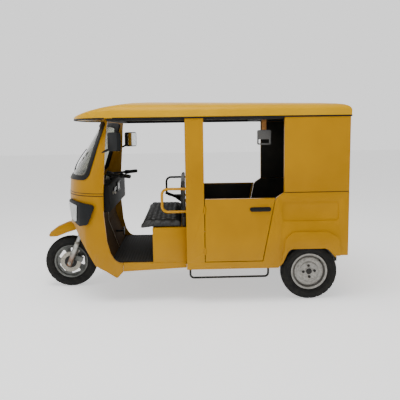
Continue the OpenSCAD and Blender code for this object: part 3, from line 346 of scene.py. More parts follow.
axle_front, axle_left, axle_right = map(middle_of, ("front_tyre", "rear_left_tyre", "rear_right_tyre"))
tread_r, tread_depth, tyre_steps, notch_every = 0.2225, 0.0065, 120, 5
groove_in, groove_out, rib_half = 0.0235, 0.029, 0.0065
half_tyre = [(0.1455, 0.0330), (0.1573, 0.0342), (0.1640, 0.0445), (0.1700, 0.0500), (0.1740, 0.0500),
             (0.1755, 0.0525), (0.1850, 0.0552), (0.1865, 0.0568), (0.1960, 0.0574), (0.2030, 0.0573),
             (0.2045, 0.0560), (0.2170, 0.0545), (0.2240, 0.0530), (0.2300, 0.0495), (0.2352, 0.0430),
             (0.2378, 0.0350), (0.2388, 0.0290), (0.2392, 0.0235), (0.2397, 0.0130), (0.2399, 0.0065)]
tyre_section = [(r, -y) for r, y in half_tyre] + [(0.24, 0)] + half_tyre[::-1]


def in_groove(c, n):
    r, turn = polar(c)
    y = abs(c.y)
    step = int(turn * tyre_steps) % notch_every
    cut = groove_in < y < groove_out or (y > groove_out and step == 0) or (y < rib_half and step == 2)
    return r > tread_r and cut


for name, centre in (("front", axle_front), ("rear_left", axle_left), ("rear_right", axle_right)):
    tyre = turned(tyre_section, (0, 0, 0), tyre_steps)
    pick(tyre, in_groove)
    bpy.ops.mesh.extrude_region_shrink_fatten(TRANSFORM_OT_shrink_fatten={"value": -tread_depth})
    bpy.ops.object.mode_set(mode="OBJECT")
    tyre.location = centre
    settle(tyre, name + "_tyre_tread", name + "_wheel", tyre_rubber, radians(32))
    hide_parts(name + "_tyre")


# Rear wheels: pressed-steel rims in silver paint, a dished disc with four wheel bolts round a dark
# hub, eight hand holes with stamped ribs between hub and holes, and a rubber valve in the well.
# Silver wheel paint: aluminium flake lacquer, slightly mottled, darkened in a broken ring in the well as
# painted shade.
wheel_silver, place = new_finish("silver_wheel_paint", Metallic=0.55)
flake = add(wheel_silver, "TexNoise", {"Scale": 55, "Detail": 4}, Vector=place)
silver = add(wheel_silver, "ValToRGB", {"stops": [(0.3, "#75736E"), (0.7, "#9A9892")]}, Fac=flake)
from_axle = add(wheel_silver, "Mapping", {"Location": (-axle_left.x, 0, -axle_left.z), "Scale": (1, 0, 1)},
                Vector=place)
radius = add(wheel_silver, "VectorMath", {"operation": "LENGTH"}, i0=from_axle).outputs["Value"]
well_r, well_half_w = 0.132, 0.007
# The dark ring round the well is painted shade, broken up by the flake noise.
well_shade_ring = add(wheel_silver, "Math", {"operation": "COMPARE", 1: well_r, 2: well_half_w}, i0=radius)
well_painted_shade = add(wheel_silver, "Math", {"operation": "MULTIPLY"}, i0=well_shade_ring, i1=flake)
into_shader(wheel_silver, Base_Color=add(
    wheel_silver, "MixRGB", {"Color2": linear("#1E1C19")}, Fac=well_painted_shade, Color1=silver),
    Roughness=add(wheel_silver, "MapRange", {"To Min": 0.32, "To Max": 0.5}, Value=flake),
    Normal=add(wheel_silver, "Bump", {"Strength": 0.05, "Distance": 0.001}, Height=flake))
# Zinc fasteners: passivated steel, a warm grey with blotches.
zinc_steel, place = new_finish("zinc_plated_steel", Metallic=0.9, Roughness=0.42)
blotch = add(zinc_steel, "TexNoise", {"Scale": 90, "Detail": 3}, Vector=place)
coat(zinc_steel, blotch, [(0.3, "#77736A"), (0.7, "#A39F94")])
# Black enamel on frame and running gear: brushed chassis paint, half matt, browned by road dirt.
chassis_black, place = new_finish("black_chassis_enamel", Specular_IOR_Level=0.3)
soil = add(chassis_black, "TexNoise", {"Scale": 14, "Detail": 6}, Vector=place)
coat(chassis_black, soil, [(0.4, "#141414"), (0.8, "#2B2721")],
     gloss=(soil, 0.4, 0.75), relief=(soil, 0.15, 0.002))
rim_section = [(0.0205, 0.0335), (0.0300, 0.0335), (0.0330, 0.0300), (0.0420, 0.0295), (0.0570, 0.0298),
               (0.0720, 0.0300), (0.0790, 0.0285), (0.0840, 0.0240), (0.0900, 0.0235), (0.0960, 0.0270),
               (0.1020, 0.0285), (0.1150, 0.0285), (0.1220, 0.0250), (0.1290, 0.0180), (0.1350, 0.0165),
               (0.1380, 0.0200), (0.1385, 0.0330), (0.1420, 0.0370), (0.1500, 0.0385), (0.1555, 0.0405),
               (0.1570, 0.0385), (0.1555, 0.0352), (0.1460, 0.0340), (0.1450, 0.0330),
               (0.1450, -0.0330), (0.1460, -0.0340), (0.1555, -0.0352), (0.1570, -0.0385),
               (0.1555, -0.0405), (0.1420, -0.0370), (0.1385, -0.0330), (0.1385, 0.0100),
               (0.1290, 0.0120), (0.1150, 0.0225), (0.0950, 0.0215), (0.0920, 0.0120),
               (0.0920, -0.0280), (0.0205, -0.0280)]
hub_section = [(0.0, 0.028), (0.0, 0.0365), (0.017, 0.0362), (0.024, 0.0348), (0.0275, 0.0325),
               (0.0275, 0.028)]
valve_section = [(0, 0), (0, 0.034), (0.003, 0.034), (0.003, 0.02), (0.0055, 0.014), (0.006, 0)]
square_on = 0.9
rim_steps, hole_count, hole_in, hole_out, hole_depth = 96, 8, 0.102, 0.115, 0.0045
rib_every, rib_in, rib_out, rib_depth = 12, 0.060, 0.069, 0.004
bolt_r, bolt_l, bolt_top, bolt_circle, bolt_y, bolt_turn = 0.0120, 0.012, 0.0025, 0.049, 0.0345, 0.08
valve_circle, valve_y, valve_turn = 0.128, 0.012, 0.8


def joined(pieces):
    begin()
    for piece in pieces:
        piece.select_set(True)
    bpy.context.view_layer.objects.active = pieces[0]
    bpy.ops.object.transform_apply()
    bpy.ops.object.join()
    return pieces[0]


for name, side, centre in (("rear_left", 1, axle_left), ("rear_right", -1, axle_right)):
    rim = turned([(r, y * side) for r, y in rim_section], (0, 0, 0), rim_steps)

    def hand_hole(c, n):
        r, turn = polar(c)
        return hole_in < r < hole_out and n.y * side > square_on and 0.25 < turn * hole_count % 1 < 0.75

    def stamped_rib(c, n):
        r, turn = polar(c)
        step = int(turn * rim_steps) % rib_every
        return rib_in < r < rib_out and n.y * side > square_on and step == rib_every // 2

    pick(rim, hand_hole)
    bpy.ops.mesh.inset(thickness=0.0012)
    bpy.ops.mesh.extrude_region_shrink_fatten(TRANSFORM_OT_shrink_fatten={"value": -hole_depth})
    pick(rim, stamped_rib)
    bpy.ops.mesh.inset(thickness=0.0006, use_individual=True)
    bpy.ops.mesh.extrude_region_shrink_fatten(TRANSFORM_OT_shrink_fatten={"value": -rib_depth})
    bpy.ops.object.mode_set(mode="OBJECT")
    rim.location = centre
    settle(rim, name + "_wheel_disc", name + "_wheel", wheel_silver, radians(30))
    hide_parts(name + "_rim")
    hub = turned([(r, y * side) for r, y in hub_section], centre, 32)
    settle(hub, name + "_hub_cap", name + "_wheel", chassis_black)
    bolts = []
    for k in range(4):
        begin()
        bpy.ops.mesh.primitive_cylinder_add(vertices=6, radius=bolt_r, depth=bolt_l, rotation=(pi / 2, 0, 0))
        bolt = bpy.context.object
        bpy.ops.object.transform_apply(location=False)
        pick(bolt, lambda c, n: n.y * side > square_on)
        bpy.ops.mesh.inset(thickness=bolt_top)
        bpy.ops.transform.translate(value=(0, bolt_top * side, 0))
        round_edges(bolt, width=0.0008, segments=1)
        turn = pi / 2 * k + bolt_turn
        bolt.location = centre + Vector((bolt_circle * sin(turn), bolt_y * side, bolt_circle * cos(turn)))
        bolts.append(bolt)
    settle(joined(bolts), name + "_wheel_bolts", name + "_wheel", chassis_black)
    in_well = Vector((-valve_circle * sin(valve_turn), valve_y * side, valve_circle * cos(valve_turn)))
    valve = turned([(r, y * side) for r, y in valve_section], centre + in_well, 16)
    settle(valve, name + "_valve", name + "_wheel", tyre_rubber)


# Front wheel: a cast aluminium wheel, left as cast between its spokes, with a drilled steel brake disc
# on a black carrier at its left side.
# Cast aluminium: sand grain, drawn at 5 mm, dull grey, with paler and darker patches.
cast_alloy, place = new_finish("cast_aluminium", Metallic=0.85)
sand = add(cast_alloy, "TexNoise", {"Scale": 210, "Detail": 4}, Vector=place)
stain = add(cast_alloy, "TexNoise", {"Scale": 16, "Detail": 4}, Vector=place)
coat(cast_alloy, stain, [(0.3, "#454644"), (0.72, "#70716D")],
     gloss=(sand, 0.38, 0.6), relief=(sand, 0.25, 0.0012))
remade("front_rim", "front_wheel_casting", "front_wheel", cast_alloy, hem=0.0025)
disc_steps, drill_every = 72, 6
brake = turned([(0.058, 0.0505), (0.096, 0.0505), (0.096, 0.0545), (0.058, 0.0545), (0.057, 0.0535),
                (0.057, 0.0515)], (0, 0, 0), disc_steps)
pick(brake, lambda c, n: abs(n.y) > square_on and int(polar(c)[1] * disc_steps) % drill_every == 0)
bpy.ops.mesh.inset(thickness=0.0022)
bpy.ops.mesh.inset(thickness=0.0006, depth=-0.0014)
bpy.ops.object.mode_set(mode="OBJECT")
brake.location = axle_front
settle(brake, "front_brake_disc", "front_wheel", zinc_steel, radians(30))
carrier = turned([(0.030, 0.0475), (0.050, 0.0475), (0.062, 0.0515), (0.062, 0.0535), (0.048, 0.0545),
                  (0.030, 0.0545)], axle_front, 48)
settle(carrier, "brake_disc_carrier", "front_wheel", chassis_black)


# Frame and running gear: rails, cross members, steering posts, roof frame, tubs, bench and steps of
# welded steel, brushed with black chassis enamel, over leaf springs and axle in bare dark steel.
# Spring steel: hot-rolled, oiled and scaled, a dull brown black with a soft metal sheen.
spring_steel, place = new_finish("rolled_spring_steel", Metallic=0.6)
scale = add(spring_steel, "TexNoise", {"Scale": 26, "Detail": 6}, Vector=place)
coat(spring_steel, scale, [(0.35, "#1F1D1B"), (0.75, "#3E3931")],
     gloss=(scale, 0.4, 0.7), relief=(scale, 0.2, 0.002))


def dress(finish, *nodes):
    for node in nodes:
        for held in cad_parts[node].material_slots:
            held.material = finish


dress(chassis_black, "chassis_rails", "cross_members", "steering_head", "steering_posts", "roof_rails",
      "roof_bows", "side_steps", "wheel_tubs", "passenger_bench")
dress(spring_steel, "leaf_springs", "rear_axle")


# Floor: a pressed pan with its toe board, coated inside and under with sound-deadening bitumen.
# Bitumen coat: rolled on, brown black and matt, paler with dust, with a soft stipple of 7 mm.
bitumen_coat, place = new_finish("bitumen_coat", Roughness=0.85, Specular_IOR_Level=0.06)
stipple = add(bitumen_coat, "TexNoise", {"Scale": 150, "Detail": 3}, Vector=place)
coat(bitumen_coat, stipple, [(0.35, "#37270F"), (0.75, "#604725")], relief=(stipple, 0.3, 0.002))
dress(bitumen_coat, "floor_pan")


# Battery: a sealed block in a moulded case, which fills the seat box.
# Battery case: polypropylene, moulded with a spark-eroded grain, drawn at 5 mm, dark grey and matt.
battery_case, place = new_finish("moulded_polypropylene", Roughness=0.6, Specular_IOR_Level=0.3)
grain = add(battery_case, "TexNoise", {"Scale": 200, "Detail": 2}, Vector=place)
coat(battery_case, grain, [(0.3, "#1D1F22"), (0.7, "#2A2D31")], relief=(grain, 0.2, 0.001))
dress(battery_case, "battery_pack")


# Floor mat: black rubber sheet laid on the floor, moulded with cross ribs 8 mm wide at 25 mm pitch.
# Mat rubber: filled rubber, matt, with grey dust trodden into it.
mat_rubber, place = new_finish("ribbed_mat_rubber", Specular_IOR_Level=0.2)
tread = add(mat_rubber, "TexNoise", {"Scale": 11, "Detail": 6}, Vector=place)
coat(mat_rubber, tread, [(0.35, "#181816"), (0.8, "#32302A")],
     gloss=(tread, 0.6, 0.9), relief=(tread, 0.2, 0.002))
dress(mat_rubber, "floor_mat")
mat_top, rib_pitch, rib_w, rib_h, rib_half_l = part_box("floor_mat")[1].z, 0.025, 0.008, 0.0022, 0.54
rib_sunk = 0.0005
for name, first_x, count in (("driver_mat_ribs", 0.315, 14), ("passenger_mat_ribs", -0.605, 23)):
    ribs = board((first_x, -rib_half_l, mat_top - rib_sunk),
                 (first_x + rib_w, rib_half_l, mat_top + rib_h), bevel=0.001)
    row = ribs.modifiers.new("row", "ARRAY")
    row.use_relative_offset = False
    row.use_constant_offset = True
    row.constant_offset_displace = (rib_pitch, 0, 0)
    row.count = count
    bpy.ops.object.modifier_apply(modifier="row")
    settle(ribs, name, "body", mat_rubber)


# Linings: black vinyl boards clipped inside the upper quarters and round the rear window, and a
# headliner of the same stuff laid over the roof bows.
def thicken(piece, wall, offset):
    bpy.ops.object.mode_set(mode="OBJECT")
    film = piece.modifiers.new("film", "SOLIDIFY")
    film.thickness = wall
    film.offset = offset
    bpy.ops.object.modifier_apply(modifier="film")


quarter_rear, quarter_front, quarter_foot, quarter_head = -1.285, -0.793, 0.940, 1.533
for side, name in both_sides:
    lining = board((quarter_rear, lining_y * side, quarter_foot),
                   (quarter_front, (lining_y + lining_t) * side, quarter_head), lining_r)
    settle(lining, name + "_quarter_lining", "body", vinyl_board)
rear_spot, rear_w, rear_h, border = (-1.2885, 0, 1.265), 1.26, 0.50, 0.05
pane_w, pane_h, pane_drop = 0.89, 0.37, 0.015
begin()
bpy.ops.mesh.primitive_plane_add(size=1, location=rear_spot, rotation=(0, pi / 2, 0))
lining = bpy.context.object
lining.scale = (rear_h, rear_w, 1)
bpy.ops.object.transform_apply()
edit_all()
bpy.ops.mesh.inset(thickness=border)
bpy.ops.transform.resize(value=(1, pane_w / (rear_w - 2 * border), pane_h / (rear_h - 2 * border)),
                         center_override=rear_spot)
bpy.ops.transform.translate(value=(0, 0, -pane_drop))
bpy.ops.mesh.delete(type="FACE")
thicken(lining, lining_t, offset=0)
settle(lining, "rear_lining", "body", vinyl_board)
liner_rear, liner_front, liner_half_w, liner_z = -1.262, 0.680, 0.600, 1.5585
headliner = board((liner_rear, -liner_half_w, liner_z),
                  (liner_front, liner_half_w, liner_z + lining_t), lining_r)
settle(headliner, "headliner", "body", vinyl_board)


# Lower quarter linings: the same black vinyl without its card, under 1 mm thick, glued straight to the
# inner face of each lower quarter.
glued = copy_of("lower_quarters", dissolve=True)
pick(glued, lambda c, n: not (n.y * c.y < 0 and abs(n.y) > square_on and abs(c.y) > 0.63))
bpy.ops.mesh.delete(type="FACE")
thicken(glued, wall=0.0007, offset=1.4)
settle(glued, "lower_quarter_linings", "body", vinyl_board)


# Drip seals: an extruded black rubber strip, 12 mm deep, pressed on along the roof's front and side edges;
# its black band is also a painted shadow, for the shade under the roof's lip.
# Extruded rubber: smooth black EPDM with a faint, uneven sheen.
seal_rubber, place = new_finish("extruded_rubber", Specular_IOR_Level=0.18)
bloom = add(seal_rubber, "TexNoise", {"Scale": 30, "Detail": 4}, Vector=place)
coat(seal_rubber, bloom, [(0.3, "#070707"), (0.75, "#121211")], gloss=(bloom, 0.35, 0.6))
lip_z, strip_top, strip_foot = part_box("roof")[0].z, 0.003, 0.0095
strip = copy_of("roof")
pick(strip, lambda c, n: abs(n.z) > 0.2 or (n.x * c.x < 0.05 if c.x > 0.6 else n.y * c.y < 0.2))
bpy.ops.mesh.delete(type="FACE")
pick(strip, lambda co: co.z > lip_z + 0.001, "VERT")
bpy.ops.transform.resize(value=(1, 1, 0), center_override=(0, 0, lip_z + strip_top))
bpy.ops.mesh.select_all(action="INVERT")
bpy.ops.transform.translate(value=(0, 0, -strip_foot))
thicken(strip, wall=0.0025, offset=0.8)
# The strip's black stands in for the shadow under the lip: painted shadow as well as rubber.
settle(strip, "drip_seals_and_lip_shadow", "body", seal_rubber)


# Cowl band: two lines of black sealer, 5 mm high, run into the joint between cowl and apron and along
# the pressed band 21 mm above it. Both are painted shade as well, for the shadow in the joint and under
# the band.
seam_z, line_h, band_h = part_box("front_apron")[1].z, 0.005, 0.021
lines = []
for node, top in (("front_apron", seam_z), ("front_cowl", seam_z + band_h)):
    line = copy_of(node)
    edit_all()
    bpy.ops.mesh.bisect(plane_co=(0, 0, top - line_h), plane_no=(0, 0, 1), clear_inner=True)
    bpy.ops.mesh.select_all(action="SELECT")
    bpy.ops.mesh.bisect(plane_co=(0, 0, top), plane_no=(0, 0, 1), clear_outer=True)
    pick(line, lambda c, n: abs(n.z) > 0.5 or n.x * (c.x - 0.6) + n.y * c.y < 0.05)
    bpy.ops.mesh.delete(type="FACE")
    thicken(line, wall=0.001, offset=0.8)
    lines.append(line)
# Both black lines are painted shade as well as sealer.
settle(joined(lines), "cowl_sealer_and_shade_lines", "body", seal_rubber)


# Quarter seams: a line of the same sealer, 5 mm high, wiped flat into the joint between each upper and
# lower quarter.
lo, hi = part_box("upper_quarters")
bite, proud, below, above, short = 0.0015, 0.0010, 0.0035, 0.0015, 0.002
lines = [board((lo.x + short, (hi.y - bite) * side, lo.z - below),
               (hi.x - short, (hi.y + proud) * side, lo.z + above), bevel=0) for side in (1, -1)]
settle(joined(lines), "quarter_sealer_lines", "body", seal_rubber)


# Apron webs: a fillet of pressed steel, 85 mm in radius, welded to the apron and enamelled with it, that
# closes the lower front corner of each door opening.
web_x, web_z, web_r, web_t, web_in = 0.5595, 0.440, 0.085, 0.016, 0.0008
web_front, web_rear, web_foot = 0.615, 0.556, 0.350
arc = [radians(-90 + 10 * k) for k in range(7)]
outline = [(web_x + web_r * cos(a), web_z + web_r * sin(a)) for a in arc]
outline += [(web_front, web_foot), (web_rear, web_foot)]
probe_x, probe_y, probe_z = 0.6, 0.8, 0.36
apron = bpy.data.objects["front_apron_sheet"]
webs = []
for side in (1, -1):
    skin_y = apron.closest_point_on_mesh((probe_x, probe_y * side, probe_z))[1].y
    begin()
    bpy.ops.mesh.primitive_circle_add(vertices=len(outline), fill_type="NGON")
    web = bpy.context.object
    for corner, (x, z) in zip(web.data.vertices, outline):
        corner.co = (x, skin_y - web_in * side, z)
    edit_all()
    bpy.ops.mesh.extrude_region_move(TRANSFORM_OT_translate={"value": (0, -web_t * side, 0)})
    bpy.ops.mesh.select_all(action="SELECT")
    bpy.ops.mesh.normals_make_consistent(inside=False)
    round_edges(web, width=0.0015)
    webs.append(web)
settle(joined(webs), "apron_corner_webs", "body", enamel_yellow)


# Toe board strip: a pale strip, 9 mm wide and 4 mm thick, run up the middle of the toe board.
# Strip finish: warm grey, with a soft gloss and scuffs.
pale_strip_finish, place = new_finish("pale_toe_strip_finish", Roughness=0.5)
scuff = add(pale_strip_finish, "TexNoise", {"Scale": 45, "Detail": 4}, Vector=place)
coat(pale_strip_finish, scuff, [(0.35, "#6B604A"), (0.75, "#9A8D70")])
toe_foot, toe_head, bead_head = (0.6615, 0.362), (0.7508, 0.620), 0.780
bead_w, bead_t, upper_end = 0.009, 0.004, 0.7
bead = board((toe_foot[0] - bead_t, -bead_w / 2, toe_foot[1]),
             (toe_foot[0], bead_w / 2, toe_foot[1] + bead_t), bevel=0)
pick(bead, lambda c, n: n.z > upper_end)
bpy.ops.transform.translate(value=(toe_head[0] - toe_foot[0], 0, toe_head[1] - toe_foot[1] - bead_t))
pick(bead, lambda c, n: n.z > upper_end)
bpy.ops.mesh.extrude_region_move(TRANSFORM_OT_translate={"value": (0, 0, bead_head - toe_head[1])})
round_edges(bead, width=0.0012)
settle(bead, "toe_board_pale_strip", "body", pale_strip_finish)


# Spring clamps: two U-bolts of zinc-plated rod over the axle at each spring, drawn down through a plate
# by hex nuts.
def bent_rod(path, radius, sides=4):
    line = bpy.data.curves.new("rod", "CURVE")
    line.dimensions = "3D"
    line.bevel_depth = radius
    line.bevel_resolution = sides
    line.use_fill_caps = True
    run = line.splines.new("POLY")
    run.points.add(len(path) - 1)
    for spot, point in zip(run.points, path):
        spot.co = (*point, 1)
    linked("rod", line)
    bpy.ops.object.convert(target="MESH")
    return bpy.context.object


axle_x, axle_z, spring_y, clamp_r, rod_r = axle_left.x, axle_left.z, 0.39, 0.0352, 0.005
plate_foot, plate_head, plate_half_l, plate_half_w = 0.1805, 0.1885, 0.05, 0.038
rod_gap, rod_foot = 0.0275, 0.168
for side, name in both_sides:
    y = spring_y * side
    parts = [board((axle_x - plate_half_l, y - plate_half_w, plate_foot),
                   (axle_x + plate_half_l, y + plate_half_w, plate_head), bevel=0.0015)]
    for rod_y in (y - rod_gap, y + rod_gap):
        bend = [pi * k / 12 for k in range(13)]
        arc = [(axle_x + clamp_r * cos(a), rod_y, axle_z + clamp_r * sin(a)) for a in bend]
        ends = [(axle_x + clamp_r * way, rod_y, rod_foot) for way in (1, -1)]
        parts.append(bent_rod([ends[0]] + arc + [ends[1]], rod_r))
        for end in ends:
            parts.append(turned([(0, 0.0045), (0.0095, 0.0045), (0.0095, 0.0105), (0.008, 0.0122),
                                 (0, 0.0122)], end, 6, (0, 0, 1)))
    settle(joined(parts), name + "_spring_clamps", "body", zinc_steel)


# Headlamps: a pod of black plastic moulded to the nose, which carries a fluted lens at its front and a
# push-in cap over its aiming screw.
# Lamp plastic: ABS moulded in a dark grey, with a fine grain drawn at 5 mm and a half gloss.
lamp_plastic, place = new_finish("grained_dark_plastic", Specular_IOR_Level=0.15)
grain = add(lamp_plastic, "TexNoise", {"Scale": 190, "Detail": 2}, Vector=place)
fade = add(lamp_plastic, "TexNoise", {"Scale": 8, "Detail": 3}, Vector=place)
coat(lamp_plastic, fade, [(0.3, "#0C0E0F"), (0.75, "#16181A")],
     gloss=(grain, 0.38, 0.55), relief=(grain, 0.15, 0.001))
# Lens: clear polycarbonate, fluted upright at 9 mm, coloured in pale stripes along the flutes: a painted
# reflection, standing in for a bright reflector behind it and the light the flutes catch.
fluted_lens, place = new_finish("fluted_polycarbonate_lens", Roughness=0.12, Transmission_Weight=0.15,
                                IOR=1.58)
across_lens = add(fluted_lens, "Mapping", {"Scale": (0.35, 1, 0)}, Vector=place)
flute_and_glint = add(fluted_lens, "TexWave", {"Scale": 35, "bands_direction": "Y"}, Vector=across_lens)
# The pale stripes in the lens colour are painted reflection; the bump is the real fluting.
coat(fluted_lens, flute_and_glint, [(0.2, "#8F9494"), (0.8, "#DADDDB")], relief=(flute_and_glint, 0.5, 0.002))
pod = remade("lamp_housings", "lamp_pods", "body", lamp_plastic, hem=0.006, segments=3)
remade("lamp_lenses", "fluted_lenses", "body", fluted_lens, hem=0.003)
cap_x, cap_z = 0.87, 0.745
cap_section = [(0, -0.002), (0.009, -0.002), (0.009, 0.001), (0.007, 0.0025), (0, 0.003)]
for side, name in both_sides:
    spot, out = pod.closest_point_on_mesh((cap_x, probe_y * side, cap_z))[1:3]
    cap = turned(cap_section, spot, 20, out)
    settle(cap, name + "_lamp_screw_cap", "body", seal_rubber)


# Windscreen: one curved laminated pane held in a rubber seal, with a single wiper on the cowl.
# Laminated glass: tinted a light grey-green, with an uneven haze of dust.
screen_glass, place = new_finish("laminated_glass", Transmission_Weight=0.95, IOR=1.45)
haze = add(screen_glass, "TexNoise", {"Scale": 5, "Detail": 5}, Vector=place)
coat(screen_glass, haze, [(0.3, "#8F9286"), (0.7, "#BBBDB1")], gloss=(haze, 0.02, 0.12))
dress(screen_glass, "windscreen", "rear_window")
remade("windscreen_seal", "screen_rubber", "body", seal_rubber, hem=0.003)
dress(seal_rubber, "wiper")


# Dashboard: a moulded black board across the nose, with a dial cluster, a row of rocker switches and
# a key lock on its rear face.
# Dash plastic: black ABS with a leather grain drawn at 4 mm, matt against glare.
dash_plastic, place = new_finish("matt_black_plastic", Roughness=0.7, Specular_IOR_Level=0.15)
grain = add(dash_plastic, "TexVoronoi", {"Scale": 250}, Vector=place)
coat(dash_plastic, grain, [(0.2, "#060606"), (0.9, "#0E0D0C")], relief=(grain, 0.25, 0.001))
remade("dashboard", "dash_moulding", "body", dash_plastic, hem=0.008, segments=3)
# Smoked acrylic: a glossy near-black window over the dials.
smoked_acrylic, place = new_finish("smoked_acrylic", Roughness=0.2, Specular_IOR_Level=0.3)
depth = add(smoked_acrylic, "TexNoise", {"Scale": 12, "Detail": 2}, Vector=place)
coat(smoked_acrylic, depth, [(0.3, "#050607"), (0.7, "#0E1113")])
dash_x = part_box("dashboard")[0].x
cluster_half, cluster_foot, cluster_head, cluster_deep, cluster_sunk = 0.115, 0.905, 0.992, 0.014, 0.002
cluster = board((dash_x - cluster_deep, -cluster_half, cluster_foot),
                (dash_x + cluster_sunk, cluster_half, cluster_head), bevel=0)
pick(cluster, lambda c, n: n.x < -square_on)
bpy.ops.mesh.inset(thickness=0.012)
bpy.ops.mesh.inset(thickness=0.004, depth=-0.006)
round_edges(cluster, width=0.003)
settle(cluster, "dial_cluster_bezel", "body", lamp_plastic)
window_half, window_foot, window_head, window_out, window_in = 0.098, 0.922, 0.975, 0.0105, 0.0075
window = board((dash_x - window_out, -window_half, window_foot),
               (dash_x - window_in, window_half, window_head), bevel=0.0006)
settle(window, "dial_cluster_window", "body", smoked_acrylic)
first_y, rocker_pitch, rocker_w, rocker_t, rocker_tilt = 0.18, 0.034, 0.026, 0.008, 0.005
rocker_foot, rocker_head, rocker_sunk = 0.925, 0.965, 0.001
for k in range(4):
    low_y = first_y + k * rocker_pitch
    rocker = board((dash_x - rocker_t, low_y, rocker_foot),
                   (dash_x + rocker_sunk, low_y + rocker_w, rocker_head), bevel=0)
    pick(rocker, lambda co: co.x < dash_x and co.z > (rocker_foot + rocker_head) / 2, "VERT")
    bpy.ops.transform.translate(value=(-rocker_tilt, 0, 0))
    round_edges(rocker, width=0.002)
    settle(rocker, "dash_rocker_%d" % (k + 1), "body", smoked_acrylic)
lock_y, lock_z, key_half_t, key_half_h = 0.36, 0.925, 0.0015, 0.010
lock = turned([(0, 0), (0.017, 0), (0.017, 0.006), (0.013, 0.009), (0.0105, 0.0075), (0, 0.0075)],
              (dash_x, lock_y, lock_z), 32, (-1, 0, 0))
settle(lock, "key_lock", "body", zinc_steel)
key_tip, key_root, key_neck_share = dash_x - 0.030, dash_x - 0.007, 0.4
key = board((key_tip, lock_y - key_half_t, lock_z - key_half_h),
            (key_root, lock_y + key_half_t, lock_z + key_half_h), bevel=0)
pick(key, lambda co: co.x > (key_tip + key_root) / 2, "VERT")
bpy.ops.transform.resize(value=(1, 1, key_neck_share), center_override=(dash_x, lock_y, lock_z))
round_edges(key, width=0.001)
settle(key, "ignition_key", "body", zinc_steel)
dress(chassis_black, "driver_controls")


# Seats: foam cushions in a sewn vinyl cover, filled tight, flat where they rest on the box or the panel
# behind them. The covers are quilted, in diamonds on the driver's seat and in upright channels behind.
# Seat vinyl: black PVC leathercloth with a pebble grain, drawn at 4 mm, greyed and shiny in patches.
seat_vinyl, place = new_finish("black_leathercloth", Specular_IOR_Level=0.4)
pebble = add(seat_vinyl, "TexVoronoi", {"Scale": 240}, Vector=place)
polish = add(seat_vinyl, "TexNoise", {"Scale": 7, "Detail": 5}, Vector=place)
coat(seat_vinyl, polish, [(0.3, "#171716"), (0.75, "#2A2927")],
     gloss=(polish, 0.38, 0.62), relief=(pebble, 0.3, 0.001))


def plump(node, lift, rests, swell):
    pad = copy_of(node)
    edit_all()
    lo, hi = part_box(node)
    bpy.ops.transform.resize(value=[1 - 2 * lift / (b - a) for a, b in zip(lo, hi)],
                             center_override=(lo + hi) / 2)
    bpy.ops.object.mode_set(mode="OBJECT")
    cover = pad.modifiers.new("cover", "REMESH")
    cover.voxel_size = 0.010
    bpy.ops.object.modifier_apply(modifier="cover")
    tied = pad.vertex_groups.new(name="tied")
    tied.add([v.index for v in pad.data.vertices if rests(v.co)], 1, "REPLACE")
    start = [v.co.copy() for v in pad.data.vertices]
    last_frame = 20
    cloth = pad.modifiers.new("cloth", "CLOTH")
    cloth.settings.quality = 4
    cloth.settings.use_pressure = True
    cloth.settings.uniform_pressure_force = 4
    cloth.settings.effector_weights.gravity = 0
    cloth.settings.vertex_group_mass = "tied"
    cloth.point_cache.frame_end = last_frame
    for step in range(1, last_frame + 1):
        bpy.context.scene.frame_set(step)
    bpy.ops.object.modifier_apply(modifier="cloth")
    bpy.context.scene.frame_set(1)
    for corner, was in zip(pad.data.vertices, start):
        move = corner.co - was
        if move.length > swell:
            corner.co = was + move * (swell / move.length)
    finer = pad.modifiers.new("finer", "SUBSURF")
    finer.levels = 1
    finer.render_levels = 1
    bpy.ops.object.modifier_apply(modifier="finer")
    return pad


def sew(pad, seam, faces, depth, width):
    for corner, out in [(v, v.normal.copy()) for v in pad.data.vertices]:
        gap = seam(corner.co)
        share = faces(out)
        if share > 0 and gap < 3 * width:
            corner.co -= out * depth * share * exp(-(gap / width) ** 2)


def to_line(value, pitch):
    part = (value / pitch) % 1
    return min(part, 1 - part) * pitch


def keep_flat(pad, axis, level, reach):
    for corner in pad.data.vertices:
        if corner.co[axis] < level + reach:
            corner.co[axis] = level


def finish_pad(pad, name, node):
    settle(pad, name, "body", seat_vinyl, radians(60))
    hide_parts(node)


def facing_up(n):
    return max(0, n.z)


def facing_front(n):
    return max(0, n.x)


quilt, channel, diagonal = 0.085, 0.09, 0.7071
driver_rest_z, driver_rest_x, passenger_rest_z = 0.660, 0.025, 0.575
driver_seam, passenger_seam, back_seam_z = 0.035, 0.05, 0.93
low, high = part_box("driver_cushion")
pad = plump("driver_cushion", lift=0.006, rests=lambda c: c.z < driver_rest_z, swell=0.014)
sew(pad, lambda c: min(to_line(c.x + c.y, quilt), to_line(c.x - c.y, quilt)) * diagonal,
    facing_up, depth=0.008, width=0.007)
sew(pad, lambda c: abs(c.x - (high.x - driver_seam)), facing_up, depth=0.007, width=0.006)
keep_flat(pad, axis=2, level=low.z, reach=0.004)
box_front, sag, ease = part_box("seat_box")[1].x + 0.005, 0.011, 0.08
for corner in pad.data.vertices:
    past = min(1, max(0, (corner.co.x - box_front) / ease))
    corner.co.z -= sag * past * max(0, 1 - (corner.co.z - low.z) / (high.z - low.z))
finish_pad(pad, "driver_seat_pad", "driver_cushion")

low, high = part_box("driver_backrest")
pad = plump("driver_backrest", lift=0.004, rests=lambda c: c.x < driver_rest_x, swell=0.012)
sew(pad, lambda c: min(to_line(c.z + c.y, quilt), to_line(c.z - c.y, quilt)) * diagonal,
    facing_front, depth=0.006, width=0.007)
keep_flat(pad, axis=0, level=low.x, reach=0.003)
finish_pad(pad, "driver_back_pad", "driver_backrest")

